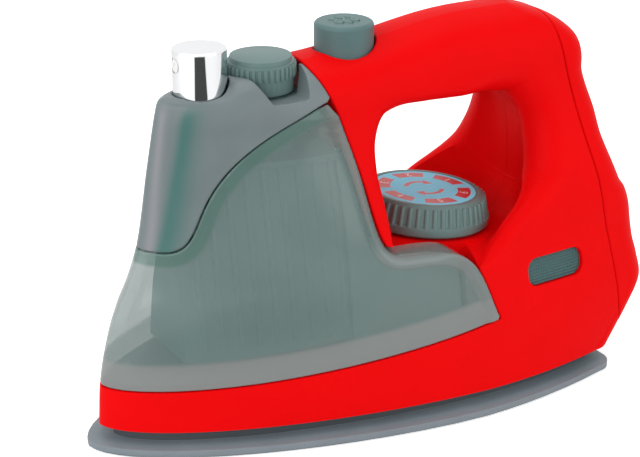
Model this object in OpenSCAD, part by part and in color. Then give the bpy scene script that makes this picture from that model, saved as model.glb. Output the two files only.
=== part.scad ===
// Toy steam iron. Millimetres, +Z up, nose towards -X, the middle plane is y = 0.
// Inside the modules u runs back from the nose tip of the sole, and place() moves it to x.

/* [Sole] */
// Length of the soleplate from nose to heel
sole_len = 197.5; // [188:0.5:210]
// Widest width of the soleplate
sole_w = 103; // [100:1:112]
// Thickness of the sole flange
flange_t = 3.2; // [2.8:0.1:5]
// Height of the plinth between the flange and the red body
plinth_h = 5; // [4.5:0.5:8]
// Thickness of the sole's floor
sole_floor = 2.2; // [1.8:0.1:2.6]

/* [Body] */
// Widest width of the red body at its lower edge
body_w = 93.5; // [90:0.5:96]
// Width of the hand grip
grip_w = 41; // [39:0.5:46]
// Height of the top of the grip above the table
body_top = 138; // [136:1:146]
// How far the heel stands out behind the sole
heel_out = 19.5; // [16:0.5:26]
// Wall thickness of the red shells
shell_wall = 2.2; // [1.8:0.1:2.6]
// Wall thickness round the handle opening
open_wall = 3.4; // [3:0.1:4]
// Gap between fixed mouldings that meet
seam = 0.3; // [0.2:0.05:0.4]
// Gap round a piece that moves
run_gap = 0.4; // [0.3:0.05:0.5]
// Radial clearance of a shaft in its bore
shaft_fit = 0.05; // [0.02:0.01:0.1]

/* [Handle] */
// Front wall of the handle opening, back from the nose
open_front = 107; // [105:0.5:109]
// Rear wall of the handle opening, back from the nose
open_rear = 171.5; // [168:0.5:174]
// Underside of the grip above the table
grip_under = 108.5; // [106:0.5:110]
// Height of the dial deck above the table at the dial
deck_z = 59; // [58:0.5:62]
// Radius of the soft rim round the handle opening
rim_r = 5.5; // [4:0.5:7]

/* [Tank] */
// Wall thickness of the clear tank
tank_wall = 2; // [1.6:0.1:2.4]
// Height of the tank's lower line at the nose
tank_low = 23; // [22:0.5:25]
// How much that line climbs towards the rear
tank_climb = 10.5; // [8:0.5:11]
// Inner side of the two tank wings that straddle the body
wing_in = 26; // [25:0.5:28]
// Height of the raised rim at the tank's rear edge
tank_rim = 0.8; // [0.5:0.1:1.2]
// Height of the deck that carries the pump and the filler neck
lid_z = 98; // [96:0.5:100]
// Thickness of that deck
lid_t = 2; // [1.6:0.1:2.4]

/* [Nose] */
// Wall thickness of the nose cover
cover_wall = 2; // [1.6:0.1:2.4]
// Height of the top of the nose cover
cover_top = 122.6; // [121:0.2:124]
// Radius of the spray head
head_r = 9.25; // [8.6:0.05:9.4]
// Height of the top of the spray head
head_top = 138; // [136:0.5:141]
// Place of the spray head, back from the nose
head_u = 46.8; // [46:0.2:47]
// Press travel of the spray head
head_travel = 5; // [3:0.5:5.5]
// Radius of the pump stem
stem_r = 2; // [1.6:0.1:2.2]
// Inner radius of the pump barrel
barrel_r = 4; // [3.8:0.1:4.4]
// Radius of the filler cap
cap_r = 12.2; // [11.8:0.1:12.4]
// Gap between the spray head and the filler cap behind it
cap_gap = 1.55; // [1.35:0.05:2]
// Height of the knurled skirt of the filler cap
cap_h = 10; // [9:0.5:11]
// Inner radius of the filler neck
neck_r = 7.4; // [7:0.1:7.6]

/* [Button] */
// Radius of the steam button
button_r = 10.5; // [9.5:0.1:11]
// Place of the steam button, back from the nose
button_u = 102.6; // [101.5:0.1:103.5]
// Height of the top of the steam button
button_top = 139.5; // [138:0.5:142]
// Press travel of the steam button
button_travel = 3; // [2:0.5:3]

/* [Dial] */
// Radius of the dial at its foot
dial_r = 25; // [23.5:0.1:25.4]
// Radius of the dial at its top edge
dial_top_r = 23; // [22:0.1:24]
// Height of the dial
dial_h = 12; // [9:0.5:13]
// Radius of the printed disc on the dial
label_r = 19.2; // [17:0.1:20]
// Radius of the dial's spindle
spindle_r = 4; // [3.5:0.1:4.5]
// Place of the dial, back from the nose
dial_u = 136.5; // [136:0.1:137]
// Backward lean of the dial and its deck
dial_lean = 5; // [3:0.5:6]
// Ribs round the dial
dial_ribs = 48; // [36:2:60]

/* [Windows] */
// Length of a side window
lens_len = 25.5; // [22:0.5:28]
// Height of a side window
lens_h = 10; // [8:0.5:12]
// Place of the windows, back from the nose
lens_u = 170.5; // [168:0.5:173]
// Height of the windows
lens_z = 46.5; // [44:0.5:49]

/* [Power and sound] */
// Diameter of a battery cell
cell_d = 14.5; // [14.5]
// Length of a battery cell
cell_len = 50.5; // [50.5]
// Middle of the battery box, back from the nose
box_u = 156; // [155:0.5:157]
// Radius of the speaker
speaker_r = 14; // [12:0.5:15]

/* [Hidden] */
$fn = 48;

red = "#dd1414";
grey = "#64777a";
dark = "#3c4648";
smoke = "#7f8f8f";
steel = "#b9bdc0";

skirt_z = flange_t + plinth_h;
total_len = sole_len + heel_out;
cap_u = head_u + head_r + cap_gap + cap_r;
body_rise = body_top - skirt_z;
far = 80;

module place() {
    translate([-total_len / 2, 0, 0]) children();
}

// Side-view outlines are drawn as [u, z] and stretched across the iron
module across(from = -far, to = far) {
    translate([0, to, 0]) rotate([90, 0, 0]) linear_extrude(to - from) children();
}

function ease(t) = let (c = min(1, max(0, t))) c * c * (3 - 2 * c);
// Smooth curve through a short list of [position, value] pairs
function seg(list, t, i = 0) = i >= len(list) - 2 || t < list[i + 1][0] ? i : seg(list, t, i + 1);
function slope(list, i, k) = (list[k][1] - list[i][1]) / (list[k][0] - list[i][0]);
function tangent(list, i) = slope(list, max(0, i - 1), min(len(list) - 1, i + 1));
function curve(list, t) =
    let (i = seg(list, t), a = list[i], b = list[i + 1], h = b[0] - a[0], s = (t - a[0]) / h)
    (2 * s^3 - 3 * s^2 + 1) * a[1] + (s^3 - 2 * s^2 + s) * h * tangent(list, i)
    + (3 * s^2 - 2 * s^3) * b[1] + (s^3 - s^2) * h * tangent(list, i + 1);
function bezier(a, b, c, d, n = 8) =
    [for (i = [0:n]) let (t = i / n, r = 1 - t) r^3 * a + 3 * r^2 * t * b + 3 * r * t^2 * c + t^3 * d];

// The outer skin is given by heights as a share of the way from the skirt to the top of the grip.
// Share of the way from body width to grip width
width_fall = [[0, 0], [0.13, 0.09], [0.30, 0.24], [0.44, 0.40], [0.55, 0.58], [0.65, 0.76],
    [0.75, 0.9], [0.85, 0.98], [1, 1]];
// Setback of the nose from the sole's tip
nose_back = [[0, 4.6], [0.13, 6], [0.25, 9.5], [0.33, 13.2], [0.40, 17.6], [0.48, 21.4], [0.57, 23.8],
    [0.72, 26.7], [0.88, 29.8], [1, 33]];
// Reach of the rear end past the sole's heel, less the heel's own reach
rear_reach = [[0, -16.5], [0.05, -11.5], [0.10, -6.5], [0.18, 0], [0.25, -1], [0.305, -2.7], [0.40, -4],
    [0.456, -6.7], [0.487, -9.6], [0.61, -15.2], [0.695, -17.1], [0.80, -20.9], [0.85, -20.8], [0.90, -22.7],
    [0.938, -27.3], [0.97, -34], [1, -46.4]];
// Place where the plan is widest, back from the sole's tip
widest_at = [[0, 140], [0.3, 128], [0.6, 100], [0.88, 76], [1, 72]];
// Share of the width that the rounded crown of the grip leaves
crown = [[0, 1], [0.85, 1], [0.90, 0.955], [0.94, 0.84], [0.97, 0.66], [0.99, 0.42], [1, 0.25]];
ring_shares = [0, 0.03, 0.07, 0.12, 0.18, 0.24, 0.30, 0.36, 0.42, 0.48, 0.54, 0.61, 0.68, 0.75, 0.81, 0.85,
    0.88, 0.91, 0.94, 0.965, 0.985, 1];
plan_p = 1.6;
plan_q = 0.6;
heel_taper = 0.13;
// Share of the height over which the flanks stop drawing in towards the rear
taper_from = 0.35;
taper_over = 0.2;
rear_corner = 10;
// The top of the grip falls from its peak to the front
arch_drop = 8.5;
arch_peak = 152;
arch_front = 80;
arch_from = 0.6;
crown_from = 0.85;
nose_steps = 14;
flank_steps = 5;
corner_steps = 6;

function share(z) = (z - skirt_z) / body_rise;
function lift(u, s) =
    -arch_drop * (1 - ease((u - arch_front) / (arch_peak - arch_front))) * ease((s - arch_from) / (1 - arch_from));
function nose_u(s, inset) = curve(nose_back, s) + inset;
function rear_u(s, inset) = sole_len + heel_out + curve(rear_reach, s) - inset;
function wide(s, inset) = (body_w + (grip_w - body_w) * curve(width_fall, s)) / 2 * curve(crown, s) - inset;
function plan_nose(t) = pow(1 - pow(1 - t, plan_p), plan_q);
function plan_flank(t, s) = 1 - heel_taper * (1 - ease((s - taper_from) / taper_over)) * t * t;
function corner_of(s, inset) = min(rear_corner, wide(s, inset) * 0.7);
// Half width of the skin at a place and a height
function half_at(u, z, inset = 0) =
    let (s = share(z), u0 = nose_u(s, inset), um = curve(widest_at, s), ue = rear_u(s, inset) - corner_of(s, inset))
    wide(s, inset) * (u < um ? plan_nose(max(0, (u - u0) / (um - u0))) : plan_flank((u - um) / (ue - um), s));
// Half of the plan outline at a share of the height, from nose to rear centre
function half_plan(s, inset) =
    let (u0 = nose_u(s, inset), um = curve(widest_at, s), w = wide(s, inset), rc = corner_of(s, inset),
        ue = rear_u(s, inset) - rc, we = w * plan_flank(1, s) - rc)
    concat(
        [for (i = [0:nose_steps]) let (t = 1 - cos(90 * i / nose_steps)) [u0 + (um - u0) * t, w * plan_nose(t)]],
        [for (i = [1:flank_steps]) let (t = i / flank_steps) [um + (ue - um) * t, w * plan_flank(t, s)]],
        [for (i = [1:corner_steps]) let (a = 90 * i / corner_steps) [ue + rc * sin(a), we + rc * cos(a)]]);
function flip(list) = [for (i = [len(list) - 1:-1:0]) [list[i][0], -list[i][1]]];
function whole_plan(half) = concat(half, flip(half));

// The skin, drawn in by an inset, as one closed solid; a foot carries it down past the skirt
module skin(inset = 0, foot = 0) {
    shares = foot > 0 ? concat([-1], ring_shares) : ring_shares;
    rings = [for (level = shares)
        let (s = max(0, level), h = half_plan(s, inset), n = len(h), low = level < 0 ? foot : 0,
            drop = low + inset * ease((s - crown_from) / (1 - crown_from)))
        [for (k = [0:2 * n - 2])
            let (p = h[k < n ? k : 2 * n - 1 - k], side = k < n ? -1 : 1)
            [p[0], side * p[1], skirt_z + body_rise * s + lift(p[0], s) - drop]]];
    n = len(rings[0]);
    top = (len(rings) - 1) * n;
    half = (n + 1) / 2;
    polyhedron(
        points = [for (r = rings) each r],
        faces = concat(
            [for (i = [0:len(rings) - 2], k = [0:n - 1]) [i * n + k, i * n + n + k, i * n + n + (k + 1) % n]],
            [for (i = [0:len(rings) - 2], k = [0:n - 1]) [i * n + k, i * n + n + (k + 1) % n, i * n + (k + 1) % n]],
            [for (k = [0:half - 2]) [k, k + 1, n - k - 1]],
            [for (k = [1:half - 2]) [k, n - k - 1, n - k]],
            [for (k = [0:half - 2]) [top + k, top + n - k - 1, top + k + 1]],
            [for (k = [1:half - 2]) [top + k, top + n - k, top + n - k - 1]]),
        convexity = 8);
}

// The line between tank and body, from the top of the tower to the tail of the tank wing
tail_u = 143.5;
tail_z = tank_low + tank_climb;
tank_edge = concat(
    [[80, body_top + 20]],
    bezier([81.5, 131], [87, 119], [93, 100], [95.4, 83]),
    bezier([95.4, 83], [97, 74], [98.5, 65], [105, 64]),
    bezier([105, 64], [114, 63], [126, 64.5], [133.5, 56]),
    bezier([133.5, 56], [138.5, 50], [140, 41], [tail_u, tail_z]));
// The line between the skirt and the tank, climbing to the rear
function skirt_at(u) = tank_low + tank_climb * (u / tail_u)^2;
skirt_line = [for (i = [12:-1:0]) let (u = tail_u * i / 12) [u, skirt_at(u)]];
// The lower edge of the nose cover
cover_nose_z = 71;
cover_edge = concat(
    [[-10, cover_nose_z]],
    bezier([26, cover_nose_z], [37, cover_nose_z], [36, 82], [44, 93], 6),
    bezier([44, 93], [52, 104], [66, 113], [90, 119.5], 6));
// The line between the body and the rear cover
rear_line = concat([[178.5, body_top + 20]], bezier([180.5, 134], [185.3, 108], [199.3, 52], [203, 14]), [[203.5, -5]]);
deck_slope = tan(dial_lean);
function deck_at(u) = deck_z - (u - dial_u) * deck_slope;

module ahead_of_tank_edge() {
    polygon(concat(tank_edge, skirt_line, [[-20, tank_low], [-20, body_top + 20]]));
}

module above_cover_edge() {
    polygon(concat(cover_edge, [[90, body_top + 20], [-10, body_top + 20]]));
}

module ahead_of_rear_line() {
    polygon(concat(rear_line, [[-20, -5], [-20, body_top + 20]]));
}

// The handle opening seen from the side
module opening(grow = 0) {
    corners = [
        [open_front + 5, deck_at(open_front + 5) + 5, 5],
        [open_front + 8, grip_under - 8, 8],
        [open_rear - 11, grip_under - 11, 11],
        [open_rear - 12, deck_at(open_rear - 12) + 12, 12]];
    hull() for (c = corners) translate([c[0], c[1]]) circle(r = c[2] + grow, $fn = 32);
}

// The opening with its soft rims, which lean with the flanks
rim_steps = 5;
flank_low = half_at(dial_u, deck_z);
flank_lean = (flank_low - half_at(dial_u, grip_under)) / (grip_under - deck_z);

module rim_slice(grow, depth) {
    multmatrix([[1, 0, 0, 0], [0, flank_lean, 1, depth - flank_low - flank_lean * deck_z], [0, 1, 0, 0]])
        linear_extrude(0.02) opening(grow);
}

module handle_cut() {
    across() opening();
    for (side = [0, 1], i = [-1:rim_steps - 1]) mirror([0, side, 0]) hull() for (k = [i, i + 1]) {
        a = 90 * max(k, 0) / rim_steps;
        rim_slice(rim_r * (1 - sin(a)), k < 0 ? -rim_r : rim_r * (1 - cos(a)));
    }
}

// The core of the body that the tank wings straddle
core_front = 97.5;
core_back = tail_u + 10;
core_top = 80;

module core(inset = 0) {
    translate([core_front + inset, -wing_in + inset, -5])
        cube([core_back - core_front - inset, 2 * (wing_in - inset), core_top + 5 - inset]);
}

module body_side(inset = 0) {
    offset(delta = -inset) difference() {
        translate([-20, -20]) square([total_len + 60, body_top + 60]);
        offset(delta = seam / 2) ahead_of_tank_edge();
    }
}

module body_block(inset = 0, foot = 0) {
    intersection() {
        skin(inset, foot);
        union() {
            across() body_side(inset);
            core(inset + seam / 2);
        }
    }
}

// Screws that join the two shells, as [u, z]
joins = [[150, 124], [181.5, 112], [151, 46], [20.4, 15.6], [186, 24]];
join_r = 1.2;
join_boss_r = 3.4;
join_head_r = 2.6;
join_reach = 9;
function join_side(j) = half_at(j[0], j[1]) - 4.5;
// Screws that hold the sole, as [u, y]
sole_fix = [[27, 8], [92, 31.5], [182, 31]];
sole_boss_r = 3.6;
sole_boss_h = 11;
// Screws that hold the rear cover, as [y, z]
cover_fix = [15, 60];
cover_fix_u = 197;

module along_y(r, from, to, u, z) {
    translate([u, to, z]) rotate([90, 0, 0]) cylinder(r = r, h = to - from, $fn = 16);
}

module along_x(r, from, to, y, z) {
    translate([from, y, z]) rotate([0, 90, 0]) cylinder(r = r, h = to - from, $fn = 16);
}

// Tilted frame of the dial: its z axis leans back with the deck
module on_deck() {
    translate([dial_u, 0, deck_z]) rotate([0, dial_lean, 0]) children();
}

// Frame of a side window: its z axis points out of the flank
lens_lean = atan((half_at(lens_u, lens_z - 4) - half_at(lens_u, lens_z + 4)) / 8);
lens_turn = atan((half_at(lens_u - 8, lens_z) - half_at(lens_u + 8, lens_z)) / 16);

module on_flank() {
    translate([lens_u, -half_at(lens_u, lens_z), lens_z]) rotate([0, 0, lens_turn]) rotate([90 - lens_lean, 0, 0])
        children();
}

module lens_bar(grow = 0) {
    r = lens_h * 0.4;
    for (i = [-1, 1], k = [-1, 1])
        translate([i * (lens_len / 2 - r), k * (lens_h / 2 - r)]) circle(r = r + grow);
    square([lens_len + 2 * grow, lens_h - 2 * r], center = true);
    square([lens_len - 2 * r, lens_h + 2 * grow], center = true);
}

bush_r = spindle_r + 2.2;
button_hole = button_r + run_gap;

// Everything about the red body that both halves share
module body_walls() {
    difference() {
        union() {
            difference() {
                body_block();
                difference() {
                    body_block(shell_wall, 4);
                    across() opening(open_wall);
                }
            }
            intersection() {
                skin(shell_wall / 2);
                union() {
                    for (f = sole_fix, side = [-1, 1]) {
                        translate([f[0], side * f[1], skirt_z]) cylinder(r = sole_boss_r, h = sole_boss_h, $fn = 16);
                        translate([f[0] - 1, side > 0 ? f[1] : -far, skirt_z]) cube([2, far - f[1], sole_boss_h - 0.5]);
                    }
                    for (side = [-1, 1]) {
                        along_x(join_boss_r, cover_fix_u - 12, cover_fix_u, side * cover_fix[0], cover_fix[1]);
                        translate([cover_fix_u - 12, side > 0 ? cover_fix[0] : -far, cover_fix[1] - 1])
                            cube([8, far - cover_fix[0], 2]);
                    }
                }
            }
        }
        handle_cut();
        across() offset(delta = seam / 2) difference() {
            translate([0, -20]) square([total_len + 60, body_top + 60]);
            ahead_of_rear_line();
        }
        translate([button_u, 0, grip_under + 8]) cylinder(r = button_hole, h = far);
        on_deck() translate([0, 0, -open_wall - 1]) cylinder(r = bush_r + seam, h = open_wall + 2);
        for (side = [0, 1]) mirror([0, side, 0]) on_flank()
            translate([0, 0, -12]) linear_extrude(24) lens_bar(seam / 2);
        for (f = sole_fix, side = [-1, 1])
            translate([f[0], side * f[1], 0]) cylinder(r = join_r + 0.2, h = skirt_z + sole_boss_h - 2, $fn = 24);
        for (side = [-1, 1])
            along_x(join_r + 0.2, cover_fix_u - 10, cover_fix_u + 1, side * cover_fix[0], cover_fix[1]);
    }
}

module shell_left() {
    color(red) place() {
        difference() {
            union() {
                intersection() {
                    body_walls();
                    translate([-20, -far, -5]) cube([total_len + 60, far - seam / 4, far * 3]);
                }
                intersection() {
                    skin(shell_wall / 2);
                    for (j = joins) along_y(join_boss_r, -far, -seam / 4, j[0], j[1]);
                }
            }
            for (j = joins) along_y(join_r + 0.2, -join_reach, 1, j[0], j[1]);
        }
    }
}

module shell_right() {
    color(red) place() {
        difference() {
            union() {
                intersection() {
                    body_walls();
                    translate([-20, seam / 4, -5]) cube([total_len + 60, far, far * 3]);
                }
                intersection() {
                    skin(shell_wall / 2);
                    for (j = joins) along_y(join_boss_r, seam / 4, far, j[0], j[1]);
                }
            }
            for (j = joins) {
                along_y(join_r + 0.2, -1, far, j[0], j[1]);
                along_y(join_head_r + 0.2, join_side(j), far, j[0], j[1]);
            }
        }
    }
}

module shell_screws() {
    color(steel) place() for (j = joins) {
        along_y(join_r, -join_reach + 1, join_side(j) + 0.02, j[0], j[1]);
        difference() {
            along_y(join_head_r, join_side(j) + 0.02, join_side(j) + 1.8, j[0], j[1]);
            translate([j[0], join_side(j) + 1.8, j[1]]) cube([3.4, 1.4, 0.7], center = true);
            translate([j[0], join_side(j) + 1.8, j[1]]) cube([0.7, 1.4, 3.4], center = true);
        }
    }
}

speaker_u = sole_len + heel_out - 13;
speaker_z = 38;
speaker_t = 6;
grille_slots = 5;

module rear_cover() {
    color(red) place() difference() {
        union() {
            intersection() {
                difference() {
                    skin(0);
                    skin(shell_wall, 4);
                }
                across() offset(delta = -seam / 2) difference() {
                    translate([0, -20]) square([total_len + 60, body_top + 60]);
                    ahead_of_rear_line();
                }
            }
            intersection() {
                skin(shell_wall / 2);
                union() {
                    for (side = [-1, 1])
                        along_x(join_boss_r, cover_fix_u + seam, total_len, side * cover_fix[0], cover_fix[1]);
                    along_x(speaker_r + 2, speaker_u - 1, total_len, 0, speaker_z);
                }
            }
        }
        along_x(speaker_r + 0.5, speaker_u - 2, speaker_u + speaker_t + 0.2, 0, speaker_z);
        along_x(speaker_r - 2, speaker_u - 2, total_len - shell_wall - 1, 0, speaker_z);
        for (side = [-1, 1]) {
            along_x(join_r + 0.2, cover_fix_u - 2, total_len, side * cover_fix[0], cover_fix[1]);
            along_x(join_head_r + 0.2, cover_fix_u + 8, total_len + 5, side * cover_fix[0], cover_fix[1]);
        }
        for (i = [-1, 1], k = [0:grille_slots - 1]) {
            reach = speaker_r * 0.62 * sqrt(1 - ((k - (grille_slots - 1) / 2) / grille_slots)^2 * 2);
            hull() for (y = [1.6, reach])
                along_x(1, speaker_u + 4, total_len + 5, i * y, speaker_z + (k - (grille_slots - 1) / 2) * 4);
        }
    }
}

module rear_cover_screws() {
    color(steel) place() for (side = [-1, 1]) {
        along_x(join_r, cover_fix_u - 9, cover_fix_u + 8.1, side * cover_fix[0], cover_fix[1]);
        difference() {
            along_x(join_head_r, cover_fix_u + 8.02, cover_fix_u + 9.7, side * cover_fix[0], cover_fix[1]);
            translate([cover_fix_u + 9.7, side * cover_fix[0], cover_fix[1]]) cube([1.4, 3.4, 0.7], center = true);
            translate([cover_fix_u + 9.7, side * cover_fix[0], cover_fix[1]]) cube([1.4, 0.7, 3.4], center = true);
        }
    }
}

// Plan of the sole from nose to heel
sole_wide_at = 134;
sole_p = 1.53;
sole_q = 0.6;
sole_taper = 0.147;
sole_corner = 7;
function sole_half(inset) =
    let (w = sole_w / 2 - inset, u2 = sole_len - inset - sole_corner, we = w * (1 - sole_taper) - sole_corner)
    concat(
        [for (i = [0:16]) let (t = 1 - cos(90 * i / 16))
            [inset + (sole_wide_at - inset) * t, w * pow(1 - pow(1 - t, sole_p), sole_q)]],
        [for (i = [1:6]) let (t = i / 6) [sole_wide_at + (u2 - sole_wide_at) * t, w * (1 - sole_taper * t * t)]],
        [for (i = [1:6]) [u2 + sole_corner * sin(15 * i), we + sole_corner * cos(15 * i)]]);

module slab(half, from, to) {
    translate([0, 0, from]) linear_extrude(to - from) polygon(whole_plan(half));
}

plinth_in = 5;
plinth_wall = 4;
sole_head_r = 2.8;
sole_head_z = skirt_z - 3.4;
box_wall = 1.6;
cell_gap = 0.6;
box_in = [cell_len + 4, 2 * cell_d + 3 * cell_gap];
box_out = [box_in[0] + 2 * box_wall, box_in[1] + 2 * box_wall];
door_lip = 2;
door_size = [box_out[0] + 2, box_out[1] + 2];
door_t = 1.4;
door_tab_r = 4.5;
tab_boss_r = 3.4;
door_tab_u = box_u + box_out[0] / 2 + tab_boss_r + seam;

module door_plan(grow) {
    translate([box_u, 0]) square([door_size[0] + 2 * grow, door_size[1] + 2 * grow], center = true);
    translate([door_tab_u, 0]) circle(r = door_tab_r + grow);
}

module soleplate() {
    color(grey) place() difference() {
        union() {
            difference() {
                union() {
                    slab(sole_half(1), 0, 0.8);
                    slab(sole_half(0), 0.8, flange_t);
                    slab(half_plan(0, plinth_in), flange_t - 0.5, skirt_z);
                }
                slab(half_plan(0, plinth_in + plinth_wall), sole_floor, skirt_z + 1);
            }
            for (f = sole_fix, side = [-1, 1])
                translate([f[0], side * f[1], sole_floor / 2]) cylinder(r = sole_boss_r + 1, h = skirt_z - sole_floor / 2);
            translate([door_tab_u, 0, sole_floor / 2]) cylinder(r = tab_boss_r, h = 6);
        }
        for (f = sole_fix, side = [-1, 1]) translate([f[0], side * f[1], -1]) {
            cylinder(r = join_r + 0.3, h = skirt_z + 2);
            cylinder(r = sole_head_r + 0.3, h = sole_head_z + 1);
        }
        translate([0, 0, -1]) linear_extrude(1 + door_t + 0.2) door_plan(run_gap);
        translate([box_u - box_in[0] / 2, -box_in[1] / 2, -1]) cube([box_in[0], box_in[1], sole_floor + 2]);
        translate([door_tab_u, 0, -1]) cylinder(r = join_r + 0.3, h = 6);
    }
}

module sole_screws() {
    color(steel) place() for (f = sole_fix, side = [-1, 1]) translate([f[0], side * f[1], 0]) {
        translate([0, 0, sole_head_z - 0.1]) cylinder(r = join_r, h = skirt_z - sole_head_z + sole_boss_h - 3);
        difference() {
            translate([0, 0, sole_head_z - 1.8]) cylinder(r = sole_head_r, h = 1.78);
            translate([0, 0, sole_head_z - 1.8]) cube([3.6, 0.8, 1.4], center = true);
            translate([0, 0, sole_head_z - 1.8]) cube([0.8, 3.6, 1.4], center = true);
        }
    }
}

// Pegs on the tank floor that the inner vessel stands on, as places back from the nose
tank_pegs = [40, 54, 68, 82];
peg_y = 8;
vessel_rise = 5;

module tank_side(inset = 0) {
    offset(delta = -inset - seam / 2 + 0.6) offset(delta = -0.6) difference() {
        ahead_of_tank_edge();
        above_cover_edge();
    }
}

module tank_shell() {
    color(smoke, 0.45) place() difference() {
        union() {
            difference() {
                union() {
                    intersection() {
                        skin(0);
                        across() tank_side();
                    }
                    intersection() {
                        skin(-tank_rim);
                        across() difference() {
                            tank_side(0.08);
                            translate([-5, -0.5]) tank_side(0.08);
                        }
                        translate([78, -far, tail_z + 2]) cube([far, 2 * far, 110 - tail_z - 2]);
                    }
                }
                difference() {
                    intersection() {
                        skin(tank_wall);
                        across() difference() {
                            offset(delta = -tank_wall - seam / 2) ahead_of_tank_edge();
                            translate([0, 4]) above_cover_edge();
                        }
                    }
                    core(-tank_wall - seam);
                }
            }
            for (u = tank_pegs, side = [-1, 1]) translate([u, side * peg_y, skirt_at(u)]) hull() {
                translate([-1.8, -1.8, 1]) cube([3.6, 3.6, 1]);
                translate([-1.2, -1.2, tank_wall + vessel_rise - 1]) cube([2.4, 2.4, 1]);
            }
        }
        core(-seam / 2);
    }
}

vessel_front = 31.5;
vessel_in = 7;
vessel_wall = 1.6;
vessel_rib_r = 0.9;
vessel_ribs = [38, 44, 50, 56, 62, 68, 74, 80, 86];

// Side of the opaque vessel that hangs from the deck inside the clear tank
module vessel_side(inset = 0, head = 0) {
    intersection() {
        offset(delta = -tank_wall - seam - 0.5 - inset) ahead_of_tank_edge();
        translate([vessel_front + inset, 0])
            square([core_front - tank_wall - seam - 0.5 - 2 * inset - vessel_front, lid_z - seam + head]);
        polygon(concat([for (p = skirt_line) [p[0], p[1] + tank_wall + seam + vessel_rise + inset]],
            [[-20, tank_low + 10], [-20, body_top], [tail_u, body_top]]));
    }
}

module inner_vessel() {
    color(grey) place() difference() {
        intersection() {
            across() vessel_side();
            union() {
                skin(vessel_in);
                for (u = vessel_ribs, side = [-1, 1]) hull() for (z = [36, 56, 76, lid_z - 2])
                    translate([u, side * half_at(u, z, vessel_in), z]) cylinder(r = vessel_rib_r, h = 2, $fn = 6);
            }
        }
        intersection() {
            skin(vessel_in + vessel_wall);
            across() vessel_side(vessel_wall, 5);
        }
    }
}

barrel_wall = 1.2;
barrel_out = barrel_r + barrel_wall;
lid_top = lid_z + lid_t;
gasket_t = 0.8;
flange_r = 8.5;
collar_h = 8;
collar_t = 1.6;
lid_back = 89.3;

module tank_lid() {
    color(grey) place() difference() {
        intersection() {
            slab(half_plan(share(lid_top), tank_wall + seam + 0.6), lid_z, lid_top);
            translate([0, -far, 0]) cube([lid_back, 2 * far, far * 2]);
        }
        translate([head_u, 0, lid_z - 1]) cylinder(r = barrel_out + 0.15, h = lid_t + 2);
        translate([cap_u, 0, lid_z - 1]) cylinder(r = neck_r, h = lid_t + 2);
    }
}

// Side of the nose cover: its top rises behind the spray head, steps down beside the filler cap and up behind it
notch_drop = 3;
collar_rise = 4.8;
cup_rise = 6;
cup_u = cap_u + 8.5;

module cover_top_side(inset = 0) {
    rise = cover_top + collar_rise - inset;
    polygon([[-20, 0], [-20, cover_top - inset], [cap_u - 18, cover_top - inset],
        [cap_u - 14.5, cover_top + collar_rise / 2 - inset], [cap_u - 12, rise], [cap_u - 9, rise],
        [cap_u - 5, cover_top - notch_drop - inset], [cup_u, cover_top - notch_drop - inset],
        [cup_u + 3, cover_top + cup_rise - inset], [100, cover_top + cup_rise - inset], [100, 0]]);
}

neck_wall = 1.6;
neck_out = neck_r + neck_wall;
well_z = cover_top - notch_drop + 0.4;
cover_gussets = 8;

module nose_cover() {
    color(grey) place() difference() {
        union() {
            difference() {
                intersection() {
                    skin(0);
                    across() offset(delta = -seam / 2) intersection() {
                        ahead_of_tank_edge();
                        above_cover_edge();
                        cover_top_side();
                    }
                }
                intersection() {
                    skin(cover_wall);
                    across() intersection() {
                        offset(delta = -cover_wall - seam / 2) ahead_of_tank_edge();
                        cover_top_side(cover_wall + seam / 2);
                    }
                }
            }
            intersection() {
                skin(cover_wall / 2);
                union() for (i = [0:cover_gussets - 1]) translate([head_u, 0, cover_top - 1]) rotate(45 * i + 22.5)
                    hull() {
                        translate([head_r + 1.4, -0.6, -1]) cube([8, 1.2, 1]);
                        translate([head_r + 5, -0.6, -7]) cube([4, 1.2, 1]);
                    }
                across() intersection() {
                    offset(delta = -cover_wall) ahead_of_tank_edge();
                    cover_top_side(cover_wall / 2);
                }
            }
        }
        translate([head_u, 0, 0]) cylinder(r = head_r + run_gap - 0.1, h = far * 2);
        translate([cap_u, 0, well_z]) cylinder(r = cap_r + run_gap, h = far);
        translate([cap_u, 0, 0]) cylinder(r = neck_out + seam, h = far * 2);
    }
}

head_skirt = 3.6;
head_wall = 1.3;
head_low = cover_top - head_skirt;
head_round = 0.8;
socket_r = stem_r + 1.6;
socket_low = head_low + 3;
roof_z = head_top - 4;
orifice_z = head_top - 5.2;
orifice_r = 2.3;

module spray_head() {
    color("#d9dde0") place() translate([head_u, 0, 0]) difference() {
        rotate_extrude($fn = 96) {
            difference() {
                union() {
                    translate([0, head_low]) square([head_r, head_top - head_low - head_round]);
                    translate([0, head_low]) square([head_r - head_round, head_top - head_low]);
                    translate([head_r - head_round, head_top - head_round]) circle(r = head_round);
                }
                translate([socket_r, head_low - 1]) square([head_r - head_wall - socket_r, roof_z - head_low + 1]);
                translate([-1, head_low - 1]) square([stem_r + shaft_fit + 1, roof_z - head_low + 1]);
                translate([-1, head_low - 1]) square([socket_r + 2, socket_low - head_low + 1]);
                translate([-far, 0]) square([far, far * 2]);
            }
        }
        translate([-head_r - 1, 0, orifice_z]) rotate([0, 90, 0]) {
            cylinder(r = orifice_r, h = head_r - stem_r - 0.6);
            cylinder(r = orifice_r + 0.4, h = 1.9);
        }
    }
}

module spray_orifice() {
    color("#f2f2f0") place() translate([head_u, 0, orifice_z]) rotate([0, -90, 0]) difference() {
        translate([0, 0, head_r - 3]) cylinder(r = orifice_r - 0.05, h = 2.8);
        translate([0, 0, head_r - 4]) cylinder(r = 0.5, h = 6);
        translate([0, 0, head_r - 1]) cylinder(r1 = 0.5, r2 = 1.4, h = 1);
    }
}

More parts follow.
